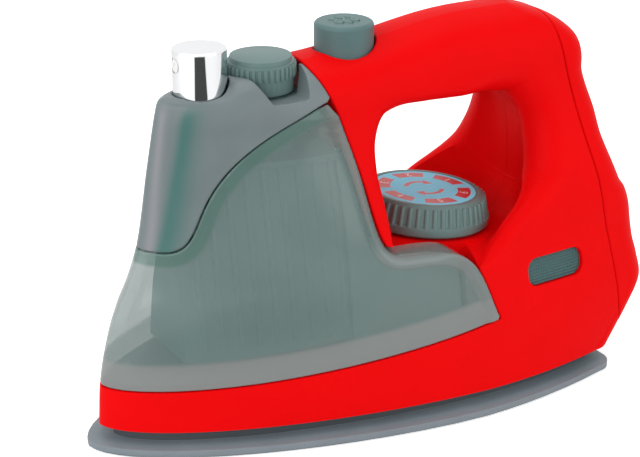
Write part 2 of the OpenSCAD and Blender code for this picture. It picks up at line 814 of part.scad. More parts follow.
barrel_low = lid_z - 20;
barrel_top = lid_top + gasket_t + 4.4;
piston_h = 4;
piston_low = barrel_low + 2 + head_travel + 5;

module pump_stem() {
    color("#eef0ee") place() translate([head_u, 0, 0]) {
        translate([0, 0, piston_low]) cylinder(r = stem_r, h = roof_z - 0.2 - piston_low);
        translate([0, 0, piston_low]) cylinder(r = barrel_r - shaft_fit, h = piston_h);
    }
}

// Round wire wound about the z axis: one unbroken tube
module coil(radius, wire, turns, height) {
    sides = 6;
    rings = turns * 8;
    points = [for (i = [0:rings]) let (a = 45 * i, z = height * i / rings) for (k = [0:sides - 1])
        let (b = 360 * k / sides, r = radius + wire * cos(b)) [r * cos(a), r * sin(a), z + wire * sin(b)]];
    echo(str("least gap between the turns of a spring, mm: ", height / turns - 2 * wire));
    polyhedron(points, concat(
        [for (i = [0:rings - 1], k = [0:sides - 1]) let (a = i * sides + k, b = i * sides + (k + 1) % sides)
            [a, b, a + sides]],
        [for (i = [0:rings - 1], k = [0:sides - 1]) let (a = i * sides + k, b = i * sides + (k + 1) % sides)
            [b, b + sides, a + sides]],
        [for (k = [1:sides - 2]) [0, k + 1, k]],
        [for (k = [1:sides - 2]) [rings * sides, rings * sides + k, rings * sides + k + 1]]));
}

wire_r = 0.35;
pump_turns = 5;
button_turns = 4;

module pump_spring() {
    low = barrel_low + 2 + wire_r + 0.1;
    color(steel) place() translate([head_u, 0, low])
        coil(barrel_r - 1.1, wire_r, pump_turns, piston_low - wire_r - 0.1 - low);
}

module pump_barrel() {
    color("#e6e9e6") place() translate([head_u, 0, 0]) difference() {
        union() {
            translate([0, 0, barrel_low]) cylinder(r = barrel_out, h = barrel_top - barrel_low);
            translate([0, 0, lid_top + gasket_t]) cylinder(r = flange_r, h = 2);
            translate([0, 0, barrel_low - 4]) cylinder(r = 2.6, h = 5);
        }
        translate([0, 0, barrel_low + 2]) cylinder(r = barrel_r, h = far);
        translate([0, 0, barrel_low - 5]) cylinder(r = 0.8, h = 10);
    }
}

module pump_gasket() {
    color(dark) place() translate([head_u, 0, lid_top + 0.02]) difference() {
        cylinder(r = flange_r, h = gasket_t - 0.04);
        translate([0, 0, -1]) cylinder(r = barrel_out + 0.1, h = gasket_t + 2);
    }
}

module pump_collar() {
    color("#e6e9e6") place() translate([head_u, 0, lid_top + 0.1]) difference() {
        cylinder(r = flange_r + 0.2 + collar_t, h = collar_h);
        translate([0, 0, -1]) cylinder(r = flange_r + 0.2, h = collar_h + 1 - collar_t);
        cylinder(r = stem_r + shaft_fit + 0.03, h = far);
        for (i = [0:15]) rotate(22.5 * i) translate([flange_r + 0.2 + collar_t + 0.5, 0, -1])
            cylinder(r = 0.9, h = collar_h + 2);
    }
}

tube_r = 2.2;
tube_low = tank_low + 13;

module dip_tube() {
    color("#dfe8ea", 0.7) place() translate([head_u, 0, tube_low]) difference() {
        cylinder(r = tube_r + 1.4, h = barrel_low - 0.1 - tube_low);
        translate([0, 0, barrel_low - 4.1 - tube_low]) cylinder(r = 2.65, h = 10);
        translate([0, 0, -1]) cylinder(r = tube_r, h = barrel_low);
    }
}

neck_top = cover_top + 1.5;

module filler_neck() {
    color(grey) place() translate([cap_u, 0, lid_top + 0.02]) difference() {
        union() {
            cylinder(r = neck_out, h = neck_top - lid_top);
            cylinder(r = neck_out + 2, h = 1.5);
        }
        translate([0, 0, -1]) cylinder(r = neck_r, h = far);
    }
}

cap_low = well_z + run_gap;
cap_top = cap_low + cap_h;
cap_roof = cap_top - 3;
cap_disc_h = 1.6;
seal_h = 16;
pivot_r = 2.5;
pivot_h = 1.6;

module filler_seal() {
    color(dark) place() translate([cap_u, 0, 0]) {
        translate([0, 0, cap_roof - seal_h]) cylinder(r = neck_r - 0.3, h = seal_h - 0.3);
        translate([0, 0, cap_roof - 1]) cylinder(r = pivot_r, h = 1 + pivot_h - 0.3);
    }
}

cap_ribs = 36;
rib_r = 0.7;

module filler_cap() {
    color(grey) place() translate([cap_u, 0, 0]) difference() {
        union() {
            translate([0, 0, cap_low]) cylinder(r = cap_r - rib_r, h = cap_h);
            translate([0, 0, cap_top - 0.1]) cylinder(r = cap_r - 1.6, h = cap_disc_h + 0.1);
            for (i = [0:cap_ribs - 1]) rotate(i * 360 / cap_ribs) translate([cap_r - rib_r, 0, cap_low + cap_h / 2])
                cylinder(r = rib_r, h = cap_h / 2 - 0.8, $fn = 16);
        }
        translate([0, 0, cap_low - 1]) cylinder(r = neck_out + run_gap, h = cap_roof - cap_low + 1);
        translate([0, 0, cap_roof - 0.5]) cylinder(r = pivot_r + shaft_fit, h = pivot_h + 0.5);
    }
}

guide_z = grip_under + open_wall + 0.3;
guide_t = 2;
post_r = 3;
button_low = guide_z + guide_t + button_travel + 2.6;
button_lip = 1.4;
button_wall = 1.6;
button_roof = button_top - 4;
post_top = button_roof - button_travel - 0.8;

module steam_button() {
    color(grey) place() translate([button_u, 0, 0]) difference() {
        rotate_extrude($fn = 96) difference() {
            union() {
                translate([0, button_low]) square([button_r, button_top - 1.5 - button_low]);
                translate([0, button_low]) square([button_r - 1.5, button_top - button_low]);
                translate([button_r - 1.5, button_top - 1.5]) circle(r = 1.5);
                translate([0, button_low]) square([button_r + run_gap + button_lip, 1.4]);
            }
            translate([post_r + 2, button_low - 1]) square([button_r - button_wall - post_r - 2, button_roof - button_low + 1]);
            translate([-1, button_low - 1]) square([post_r + shaft_fit + 1, button_roof - button_low + 1]);
            translate([-far, 0]) square([far, far * 2]);
        }
    }
}

module button_spring() {
    low = guide_z + guide_t + wire_r + 0.1;
    color(steel) place() translate([button_u, 0, low])
        coil(post_r + 1, wire_r, button_turns, button_low - wire_r - 0.1 - low);
}

guide_len = 27;
guide_w = 26;

module button_guide() {
    color(dark) place() translate([button_u, 0, guide_z]) {
        translate([-8, -guide_w / 2, 0]) cube([guide_len, guide_w, guide_t]);
        cylinder(r = post_r, h = post_top - guide_z);
    }
}

module button_switch() {
    color(dark) place() translate([button_u + button_r - 3.2, 0, guide_z + guide_t]) {
        translate([-3, -3, 0.02]) cube([6, 6, 1.2]);
        cylinder(r = 1.6, h = 1.9);
    }
}

dial_gap = 0.6;
dial_dish = 0.5;
// Height of the plain band round the dial's foot
dial_foot = dial_h / 3;
label_t = 0.4;
bush_len = 9;
spindle_len = bush_len + 1.6;

module dial() {
    color(grey) place() on_deck() difference() {
        union() {
            rotate_extrude($fn = 96) polygon([[0, dial_gap], [dial_r - 0.8, dial_gap], [dial_r, dial_gap + 0.8],
                [dial_r, dial_gap + dial_foot - 0.5], [dial_r - 1.2, dial_gap + dial_foot],
                [dial_top_r - 0.8, dial_h - 1], [dial_top_r - 2, dial_h], [0, dial_h]]);
            for (i = [0:dial_ribs - 1]) rotate(i * 360 / dial_ribs)
                translate([dial_r - 1.1, 0, dial_gap + dial_foot - 0.6])
                rotate([0, -atan((dial_r - dial_top_r) / (dial_h - dial_foot)), 0])
                cylinder(r = 0.9, h = dial_h - dial_foot - 0.9, $fn = 16);
            translate([0, 0, -spindle_len]) cylinder(r = spindle_r, h = spindle_len + 1);
        }
        translate([0, 0, dial_h - dial_dish]) cylinder(r = label_r + 0.3, h = 5);
    }
}

module dial_label() {
    color("#8fc4dc") place() on_deck() translate([0, 0, dial_h - dial_dish + 0.02]) cylinder(r = label_r, h = label_t);
}

clip_r = spindle_r + 3.5;
clip_t = 1;
dial_clicks = 6;

module dial_clip() {
    color(steel) place() on_deck() translate([0, 0, -spindle_len + 0.1]) difference() {
        cylinder(r = clip_r, h = clip_t);
        translate([0, 0, -1]) cylinder(r = spindle_r + 0.02, h = clip_t + 2);
        for (i = [0:dial_clicks - 1]) rotate(i * 360 / dial_clicks) translate([clip_r + 0.6, 0, -1])
            cylinder(r = 1, h = clip_t + 2);
    }
}

bush_flange_r = bush_r + 4;
bush_flange_z = open_wall + 0.3;

module dial_bush() {
    color("#e6e9e6") place() on_deck() difference() {
        union() {
            translate([0, 0, -bush_len]) cylinder(r = bush_r, h = bush_len);
            translate([0, 0, -bush_flange_z - 2]) cylinder(r = bush_flange_r, h = 2);
        }
        translate([0, 0, -bush_len - 1]) cylinder(r = spindle_r + shaft_fit, h = bush_len + 2);
    }
}

module dial_detent() {
    low = spindle_len;
    color(steel) place() on_deck() {
        translate([clip_r + 0.8, -2, -low]) cube([0.5, 4, low - bush_flange_z - 2.05]);
        translate([bush_r + 0.3, -2, -bush_flange_z - 2.55]) cube([clip_r + 1.3 - bush_r - 0.3, 4, 0.5]);
        translate([clip_r + 0.8, 0, -low]) cylinder(r = 0.5, h = 1.2);
    }
}

lens_t = 2.6;
lens_sink = 0.8;

module lens() {
    place() on_flank() {
        translate([0, 0, -lens_sink - lens_t]) linear_extrude(lens_t) lens_bar();
        translate([0, 0, -lens_sink - lens_t - 1.2]) linear_extrude(1.2) lens_bar(1.2);
    }
}

module lens_left() {
    color("#5f8f93", 0.7) lens();
}

module lens_right() {
    color("#5f8f93", 0.7) mirror([0, 1, 0]) lens();
}

lamp_r = 2.5;

module lamps() {
    color("#f2d8a0") place() for (side = [0, 1]) mirror([0, side, 0]) on_flank() {
        translate([0, 0, -lens_sink - lens_t - 1.4 - lamp_r]) sphere(r = lamp_r);
        translate([0, 0, -lens_sink - lens_t - 1.4 - 3 * lamp_r]) cylinder(r = lamp_r, h = 2 * lamp_r);
        translate([0, 0, -lens_sink - lens_t - 1.4 - 3 * lamp_r]) cylinder(r = lamp_r + 0.5, h = 1);
    }
}

box_low = sole_floor + 0.05;
cell_z = box_low + 1 + cell_d / 2;
box_top = cell_z + cell_d / 2 + 1 + box_wall;
post_h = 4;
board = [40, 28, 1.6];

module battery_box() {
    color(dark) place() translate([box_u, 0, 0]) {
        difference() {
            translate([-box_out[0] / 2, -box_out[1] / 2, box_low]) cube([box_out[0], box_out[1], box_top - box_low]);
            translate([-box_in[0] / 2, -box_in[1] / 2, box_low - 1]) cube([box_in[0], box_in[1], box_top - box_wall - box_low + 1]);
        }
        for (i = [-1, 1], k = [-1, 1])
            translate([i * (board[0] / 2 - 3), k * (board[1] / 2 - 3), box_top - 0.1]) cylinder(r = 2, h = post_h + 0.1);
    }
}

module batteries() {
    color("#48535a") place() for (side = [-1, 1]) {
        y = side * (cell_d + cell_gap) / 2;
        along_x(cell_d / 2, box_u - cell_len / 2, box_u + cell_len / 2 - 1.2, y, cell_z);
        along_x(2.6, box_u + cell_len / 2 - 1.3, box_u + cell_len / 2, y, cell_z);
    }
}

module battery_contacts() {
    color(steel) place() for (side = [-1, 1], end = [-1, 1]) {
        y = side * (cell_d + cell_gap) / 2;
        x = box_u + end * (box_in[0] / 2 - 0.3);
        translate([x, y, cell_z]) cube([0.5, 9, 9], center = true);
        along_x(3, end < 0 ? x : x - 1.4, end < 0 ? x + 1.4 : x, y, cell_z);
    }
}

door_low = 0.3;
door_head_r = 2.4;

module battery_door() {
    color(grey) place() difference() {
        translate([0, 0, door_low]) linear_extrude(door_t - door_low) door_plan(0);
        translate([door_tab_u, 0, -1]) cylinder(r = join_r + 0.15, h = 5);
        translate([door_tab_u, 0, -1]) cylinder(r = door_head_r + 0.15, h = 1.1 + door_low);
        translate([door_tab_u, 0, door_low + 0.09]) cylinder(r1 = door_head_r + 0.15, r2 = join_r + 0.15, h = 0.92);
        for (i = [-3:3]) translate([box_u + i * 5, 0, door_low]) cube([1.6, 22, 0.8], center = true);
    }
}

module door_screw() {
    color(steel) place() translate([door_tab_u, 0, 0]) difference() {
        union() {
            translate([0, 0, door_low + 0.1]) cylinder(r1 = door_head_r, r2 = join_r, h = 0.9);
            translate([0, 0, door_low + 0.2]) cylinder(r = join_r, h = 4.2);
        }
        translate([0, 0, door_low]) cube([2.6, 0.6, 0.8], center = true);
        translate([0, 0, door_low]) cube([0.6, 2.6, 0.8], center = true);
    }
}

board_z = box_top + post_h + 0.05;

module circuit_board() {
    color("#2f6b3a") place() translate([box_u, 0, board_z]) {
        translate([-board[0] / 2, -board[1] / 2, 0]) cube(board);
        translate([-6, -5, board[2] - 0.01]) cylinder(r = 4, h = 2.4);
        translate([4, -9, board[2] - 0.01]) cube([8, 6, 1.8]);
        translate([6, 4, board[2] - 0.01]) cylinder(r = 3, h = 7);
        translate([-16, 4, board[2] - 0.01]) cube([7, 4, 4]);
    }
}

module speaker() {
    color(dark) place() {
        along_x(speaker_r, speaker_u + speaker_t - 1.5, speaker_u + speaker_t, 0, speaker_z);
        along_x(speaker_r - 2, speaker_u + 1.8, speaker_u + speaker_t - 1, 0, speaker_z);
        along_x(speaker_r * 0.6, speaker_u - 4, speaker_u + 2, 0, speaker_z);
    }
}

module speaker_clamp() {
    color(grey) place() difference() {
        along_x(speaker_r + 2, speaker_u - 2.8, speaker_u - 1.1, 0, speaker_z);
        along_x(speaker_r * 0.6 + 0.4, speaker_u - 6, speaker_u + 6, 0, speaker_z);
    }
}

// Wire route from the board up the rear pillar and along the grip, as [u, y, z] less the seats' heights
lead_r = 0.8;
lead_low = board_z + board[2] + 4 + lead_r;
lead_top = guide_z + guide_t + 1;
lead_route = [[147, 6, lead_low], [158, 3, 42], [172, 1, 50], [181, 0, 62], [183, 0, 78], [183, 0, 94], [180, 0, 106],
    [172, 0, 116], [160, 0, 117], [145, 0, 116], [130, 0, 116], [button_u + button_r + 0.2, 0, lead_top]];

// A round tube along a list of points, swept in the plane that the route leans in
module tube(route, r, sides = 8) {
    n = len(route);
    points = [for (i = [0:n - 1]) let (
            d = route[min(n - 1, i + 1)] - route[max(0, i - 1)],
            t = d / norm(d),
            a = cross(t, [0, 1, 0]) / norm(cross(t, [0, 1, 0])),
            b = cross(t, a))
        for (k = [0:sides - 1]) route[i] + r * (cos(360 * k / sides) * a + sin(360 * k / sides) * b)];
    polyhedron(points, concat(
        [for (i = [0:n - 2], k = [0:sides - 1]) let (p = i * sides + k, q = i * sides + (k + 1) % sides) [p, p + sides, q]],
        [for (i = [0:n - 2], k = [0:sides - 1]) let (p = i * sides + k, q = i * sides + (k + 1) % sides)
            [q, p + sides, q + sides]],
        [for (k = [1:sides - 2]) [0, k, k + 1]],
        [for (k = [1:sides - 2]) let (p = (n - 1) * sides) [p, p + k + 1, p + k]]));
}

function smooth(route, steps = 3) =
    let (n = len(route))
    concat([for (i = [0:n - 2], k = [0:steps - 1]) let (
            t = k / steps, p = route[max(0, i - 1)], a = route[i], b = route[i + 1], q = route[min(n - 1, i + 2)])
        0.5 * (2 * a + (b - p) * t + (2 * p - 5 * a + 4 * b - q) * t^2 + (3 * a - p - 3 * b + q) * t^3)],
        [route[n - 1]]);

module wire_leads() {
    color("#20242a") place() tube(smooth(lead_route), lead_r);
}

soleplate();
sole_screws();
shell_left();
shell_right();
shell_screws();
rear_cover();
rear_cover_screws();
tank_shell();
inner_vessel();
tank_lid();
nose_cover();
spray_head();
spray_orifice();
pump_stem();
pump_spring();
pump_barrel();
pump_gasket();
pump_collar();
dip_tube();
filler_neck();
filler_seal();
filler_cap();
steam_button();
button_spring();
button_guide();
button_switch();
dial();
dial_label();
dial_clip();
dial_bush();
dial_detent();
lens_left();
lens_right();
lamps();
battery_box();
batteries();
battery_contacts();
battery_door();
door_screw();
circuit_board();
speaker();
speaker_clamp();
wire_leads();
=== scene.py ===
"""Looks of a toy steam iron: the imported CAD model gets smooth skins, finishes, light and a camera."""

import logging
import math
from dataclasses import dataclass, field
from enum import Enum
from typing import Callable, Sequence

import bmesh
import bpy
import numpy as np
from mathutils import Euler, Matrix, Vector

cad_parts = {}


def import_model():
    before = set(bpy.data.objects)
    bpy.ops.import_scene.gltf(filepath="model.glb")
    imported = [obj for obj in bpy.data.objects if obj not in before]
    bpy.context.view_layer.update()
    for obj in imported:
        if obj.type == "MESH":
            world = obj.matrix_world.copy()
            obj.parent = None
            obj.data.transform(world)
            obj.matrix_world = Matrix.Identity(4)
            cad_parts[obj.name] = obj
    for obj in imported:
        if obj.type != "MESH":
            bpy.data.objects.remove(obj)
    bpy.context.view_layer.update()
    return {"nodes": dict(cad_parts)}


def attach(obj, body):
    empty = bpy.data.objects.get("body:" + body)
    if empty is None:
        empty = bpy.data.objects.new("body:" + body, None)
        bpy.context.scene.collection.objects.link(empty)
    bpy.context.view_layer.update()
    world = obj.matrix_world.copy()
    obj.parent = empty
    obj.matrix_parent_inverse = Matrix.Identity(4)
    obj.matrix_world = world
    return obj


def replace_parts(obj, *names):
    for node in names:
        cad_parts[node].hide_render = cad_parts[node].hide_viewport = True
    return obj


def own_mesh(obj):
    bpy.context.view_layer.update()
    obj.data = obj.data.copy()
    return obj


Array = np.ndarray
Point = tuple[float, float]
Triple = tuple[float, float, float]
Part = tuple[Array, list]
Distance = Callable[[Array], Array]
Surface = Callable[[Array, Array], Array]

LOG = logging.getLogger("iron")

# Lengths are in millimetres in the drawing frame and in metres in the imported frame, and angles in degrees.
MM = 0.001
FAR = 50.0
TINY = 1e-12
SMALL = 1e-6
SLIVER = 1e-7
SHARP = 50.0
EDGE_HALVINGS = 14
ROOF_HALVINGS = 22
SLOPE_STEP = 0.02
CROWN_FROM = 0.85
COAT_ROUGH = 0.08
CLOUD_SCALE = 60.0
CLOUD_DETAIL = 4.0
CLOUD_SPAN = (0.3, 0.7)
ROUGH_LEAST = 0.02
ROUGH_VARY = 0.12
GRAIN_DETAIL = 2.0
GRAIN_STRENGTH = 0.35
# Opacity where the first layer lays on a denser, paler wall and painted highlight, and where the second lays
# on painted shade
LAYER_ALPHA = {"dense": 0.88, "dark": 0.85}


class Body(str, Enum):
    """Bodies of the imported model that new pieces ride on."""

    IRON = "iron"
    CAP = "filler_cap"
    BUTTON = "steam_button"
    DIAL = "dial"


class Keep(Enum):
    """Which side of an outline a panel keeps."""

    INSIDE = 1.0
    OUTSIDE = -1.0


def add_node(tree: bpy.types.NodeTree, kind: str, **values: float) -> bpy.types.Node:
    """Adds a shader node.

    Args:
        tree: the tree that it joins
        kind: its type without the common start
        values: values of its inputs, with _ for a blank in their names

    Returns:
        The node.
    """
    node = tree.nodes.new(f"ShaderNode{kind}")
    for name, value in values.items():
        node.inputs[name.replace("_", " ")].default_value = value
    return node


@dataclass(frozen=True)
class Finish:
    """A moulded or plated surface.

    Args:
        name: name of the material
        color: linear base colour
        rough: mean roughness
        grain: height of the moulded texture in metres
        grain_scale: texture features per metre
        vary: how much the colour wanders
        metal: metallic share
        coat: clear coat share
        alpha: opacity
        gloss: strength of the mirror-like part
        dense: colour, with more opacity, where the mesh's layer asks for a denser, paler wall; along the
            tank's rear rim and on the tower it is a painted highlight
        dark: colour of painted shade where the mesh's layer asks for it
        slot: the record's material slot, not used here
    """

    name: str
    color: Triple
    rough: float = 0.4
    grain: float = 0.00002
    grain_scale: float = 2500.0
    vary: float = 0.06
    metal: float = 0.0
    coat: float = 0.0
    alpha: float = 1.0
    gloss: float = 0.5
    dense: Triple | None = None
    dark: Triple | None = None
    slot: str = "grey_plastic"

    def material(self) -> bpy.types.Material:
        """Builds the node material once.

        Returns:
            The Blender material.
        """
        found = bpy.data.materials.get(self.name)
        if found:
            return found
        mat = bpy.data.materials.new(self.name)
        mat.use_nodes = True
        tree = mat.node_tree
        links = tree.links
        shader = tree.nodes["Principled BSDF"]
        fixed = {"Metallic": self.metal, "Coat Weight": self.coat, "Coat Roughness": COAT_ROUGH,
                 "Alpha": self.alpha, "Specular IOR Level": self.gloss}
        for name, value in fixed.items():
            shader.inputs[name].default_value = value
        place = add_node(tree, "TexCoord").outputs["Object"]
        cloud = add_node(tree, "TexNoise", Scale=CLOUD_SCALE, Detail=CLOUD_DETAIL)
        links.new(place, cloud.inputs["Vector"])
        tint = add_node(tree, "ValToRGB")
        low, high = tint.color_ramp.elements
        low.position, high.position = CLOUD_SPAN
        low.color = (*[c * (1 - self.vary) for c in self.color], 1)
        high.color = (*[min(1.0, c * (1 + self.vary)) for c in self.color], 1)
        links.new(cloud.outputs["Fac"], tint.inputs["Fac"])
        spread = add_node(tree, "MapRange", To_Min=max(ROUGH_LEAST, self.rough * (1 - ROUGH_VARY)),
                          To_Max=min(1.0, self.rough * (1 + ROUGH_VARY)))
        links.new(cloud.outputs["Fac"], spread.inputs["Value"])
        links.new(spread.outputs["Result"], shader.inputs["Roughness"])
        if self.grain > 0:
            fine = add_node(tree, "TexNoise", Scale=self.grain_scale, Detail=GRAIN_DETAIL)
            links.new(place, fine.inputs["Vector"])
            bump = add_node(tree, "Bump", Strength=GRAIN_STRENGTH, Distance=self.grain)
            links.new(fine.outputs["Fac"], bump.inputs["Height"])
            links.new(bump.outputs["Normal"], shader.inputs["Normal"])
        color, alpha = tint.outputs["Color"], None
        # Mixes in the painted layers: a denser, paler colour that is in places a painted highlight, and a
        # colour of painted shade
        for layer, other in (("dense", self.dense), ("dark", self.dark)):
            if other is None:
                continue
            here = add_node(tree, "Attribute")
            here.attribute_name = layer
            mix = add_node(tree, "Mix")
            mix.data_type = "RGBA"
            sockets = [s for s in mix.inputs if s.type == "RGBA"]
            sockets[1].default_value = (*other, 1)
            links.new(here.outputs["Fac"], mix.inputs["Factor"])
            links.new(color, sockets[0])
            color = next(s for s in mix.outputs if s.type == "RGBA")
            fade = add_node(tree, "MapRange", To_Min=self.alpha, To_Max=LAYER_ALPHA[layer])
            links.new(here.outputs["Fac"], fade.inputs["Value"])
            if alpha is not None:
                links.new(alpha, fade.inputs["To Min"])
            alpha = fade.outputs["Result"]
        links.new(color, shader.inputs["Base Color"])
        if alpha is not None and self.alpha < 1:
            links.new(alpha, shader.inputs["Alpha"])
        return mat


RED = Finish("red_moulding", (0.78, 0.002, 0.003), rough=0.42, grain=0.000006, grain_scale=900, vary=0.02,
             gloss=0.03, slot="red_plastic")
GREY = Finish("grey_moulding", (0.13, 0.21, 0.202), rough=0.4, grain=0.00003, gloss=0.3)
BUTTON_GREY = Finish("button_moulding", (0.09, 0.165, 0.165), rough=0.4, grain=0.00003, gloss=0.3)
# The tower's lighter colour is a painted highlight and its dark colour is painted shade, both laid on by the
# nose cover's layers
TOWER = Finish("tower_moulding", (0.155, 0.19, 0.196), rough=0.36, grain=0.00002, gloss=0.35,
               dense=(0.235, 0.245, 0.26), dark=(0.055, 0.15, 0.138))
# The sole's dark colour is painted shade on the plinth's upright faces under the skirt
SOLE_GREY = Finish("sole_moulding", (0.185, 0.225, 0.25), rough=0.45, grain=0.00003,
                   dark=(0.045, 0.055, 0.065))
DARK = Finish("dark_moulding", (0.02, 0.022, 0.025), rough=0.5, slot="dark_plastic")
VESSEL = Finish("vessel_moulding", (0.175, 0.265, 0.248), rough=0.5, grain=0.00003, slot="vessel_plastic")
PALE = Finish("tank_inner", (0.3, 0.3, 0.3), rough=0.5, grain=0.00003, slot="vessel_plastic")
# The clear tank's lighter colour is a painted highlight along its rear rim and a denser, paler band at its
# base; its dark colour is painted shade under the nose cover's lower edge
CLEAR = Finish("clear_moulding", (0.165, 0.24, 0.228), rough=0.16, grain=0.0, vary=0.03, coat=0.15,
               alpha=0.62, dense=(0.255, 0.26, 0.255), dark=(0.078, 0.16, 0.138), slot="clear_plastic")
CHROME = Finish("bright_plating", (0.86, 0.87, 0.88), rough=0.06, grain=0.0, vary=0.02, metal=1.0,
                slot="chrome")
WHITE = Finish("white_moulding", (0.78, 0.79, 0.77), rough=0.4, slot="white_plastic")
STEEL = Finish("plated_steel", (0.5, 0.51, 0.53), rough=0.3, metal=1.0, slot="steel")
RUBBER = Finish("soft_rubber", (0.018, 0.018, 0.02), rough=0.65, slot="rubber")
LENS = Finish("tinted_lens", (0.036, 0.1, 0.1), rough=0.3, grain=0.0, gloss=0.35, slot="lens")
LAMP = Finish("lamp_resin", (0.8, 0.75, 0.6), rough=0.1, slot="lamp")
BOARD = Finish("printed_board", (0.02, 0.13, 0.05), rough=0.4, slot="board")
CELL = Finish("cell_sleeve", (0.03, 0.04, 0.05), rough=0.35, slot="cell")
PRINT_BLUE = Finish("disc_print", (0.22, 0.74, 0.98), rough=0.5, grain=0.00001, gloss=0.2, slot="label")
PRINT_RED = Finish("disc_red", (0.55, 0.02, 0.025), rough=0.35, grain=0.00001, slot="label")
PRINT_WHITE = Finish("disc_white", (0.85, 0.86, 0.86), rough=0.35, grain=0.00001, slot="label")
FLOOR = Finish("pale_floor", (0.9, 0.9, 0.9), rough=0.7, grain=0.0, vary=0.0)
CLOTH = Finish("dark_cloth", (0.055, 0.055, 0.055), rough=0.9, grain=0.0, gloss=0.0)

NODE_FINISH = {
    "soleplate": SOLE_GREY, "sole_screws": STEEL, "shell_screws": STEEL, "rear_cover_screws": STEEL,
    "inner_vessel": VESSEL, "tank_lid": GREY, "spray_orifice": WHITE, "pump_stem": WHITE,
    "pump_spring": STEEL, "pump_barrel": WHITE, "pump_gasket": RUBBER, "pump_collar": WHITE,
    "dip_tube": WHITE, "filler_neck": GREY, "filler_seal": RUBBER, "filler_cap": GREY,
    "steam_button": BUTTON_GREY, "button_spring": STEEL, "button_guide": DARK, "button_switch": DARK,
    "dial": GREY, "dial_label": PRINT_BLUE, "dial_clip": STEEL, "dial_bush": WHITE, "dial_detent": STEEL,
    "lens_left": LENS, "lens_right": LENS, "lamps": LAMP, "battery_box": DARK, "batteries": CELL,
    "battery_contacts": STEEL, "battery_door": SOLE_GREY, "door_screw": STEEL, "circuit_board": BOARD,
    "speaker": DARK, "speaker_clamp": GREY, "wire_leads": RUBBER, "shell_left": RED, "shell_right": RED,
    "rear_cover": RED, "tank_shell": CLEAR, "nose_cover": TOWER, "spray_head": CHROME}


def hermite(knots: Sequence[Point], at: Array) -> Array:
    """Smooth curve through knots, as the part's source draws it.

    Args:
        knots: pairs of position and value
        at: positions to read

    Returns:
        The values there.
    """
    table = np.asarray(knots, float)
    x, y = table[:, 0], table[:, 1]
    slope = np.empty(len(x))
    slope[0] = (y[1] - y[0]) / (x[1] - x[0])
    slope[-1] = (y[-1] - y[-2]) / (x[-1] - x[-2])
    slope[1:-1] = (y[2:] - y[:-2]) / (x[2:] - x[:-2])
    i = np.clip(np.searchsorted(x, at, side="right") - 1, 0, len(x) - 2)
    h = x[i + 1] - x[i]
    s = (at - x[i]) / h
    return ((2 * s**3 - 3 * s**2 + 1) * y[i] + (s**3 - 2 * s**2 + s) * h * slope[i]
            + (3 * s**2 - 2 * s**3) * y[i + 1] + (s**3 - s**2) * h * slope[i + 1])


def ramp(at: Array, start: float, over: float) -> Array:
    """Smooth step from 0 at the start to 1 after the given length."""
    c = np.clip((at - start) / over, 0.0, 1.0)
    return c * c * (3 - 2 * c)


def unit(vectors: Array) -> Array:
    """Vectors of length 1."""
    return vectors / np.maximum(np.linalg.norm(vectors, axis=-1, keepdims=True), TINY)


def bezier(a: Point, b: Point, c: Point, d: Point, count: int = 24) -> Array:
    """Points along a cubic Bezier curve.

    Args:
        a: start
        b: first handle
        c: second handle
        d: end
        count: number of segments

    Returns:
        Array of points.
    """
    t = np.linspace(0, 1, count + 1)[:, None]
    r = 1 - t
    return r**3 * np.array(a) + 3 * r**2 * t * np.array(b) + 3 * r * t**2 * np.array(c) + t**3 * np.array(d)


def surface_normal(place: Surface, first: Array, second: Array, step: float, top: float) -> Array:
    """Normals of a surface over two parameters, by differences.

    Args:
        place: gives points for the two parameters
        first: values of the first parameter, which ends at 4
        second: values of the second parameter
        step: difference step
        top: end of the second parameter

    Returns:
        Unit vectors.
    """
    along = place(np.minimum(first + step, 4), second) - place(np.maximum(first - step, 0), second)
    up = place(first, np.minimum(second + step, top)) - place(first, np.maximum(second - step, 0))
    return unit(-np.cross(along, up))


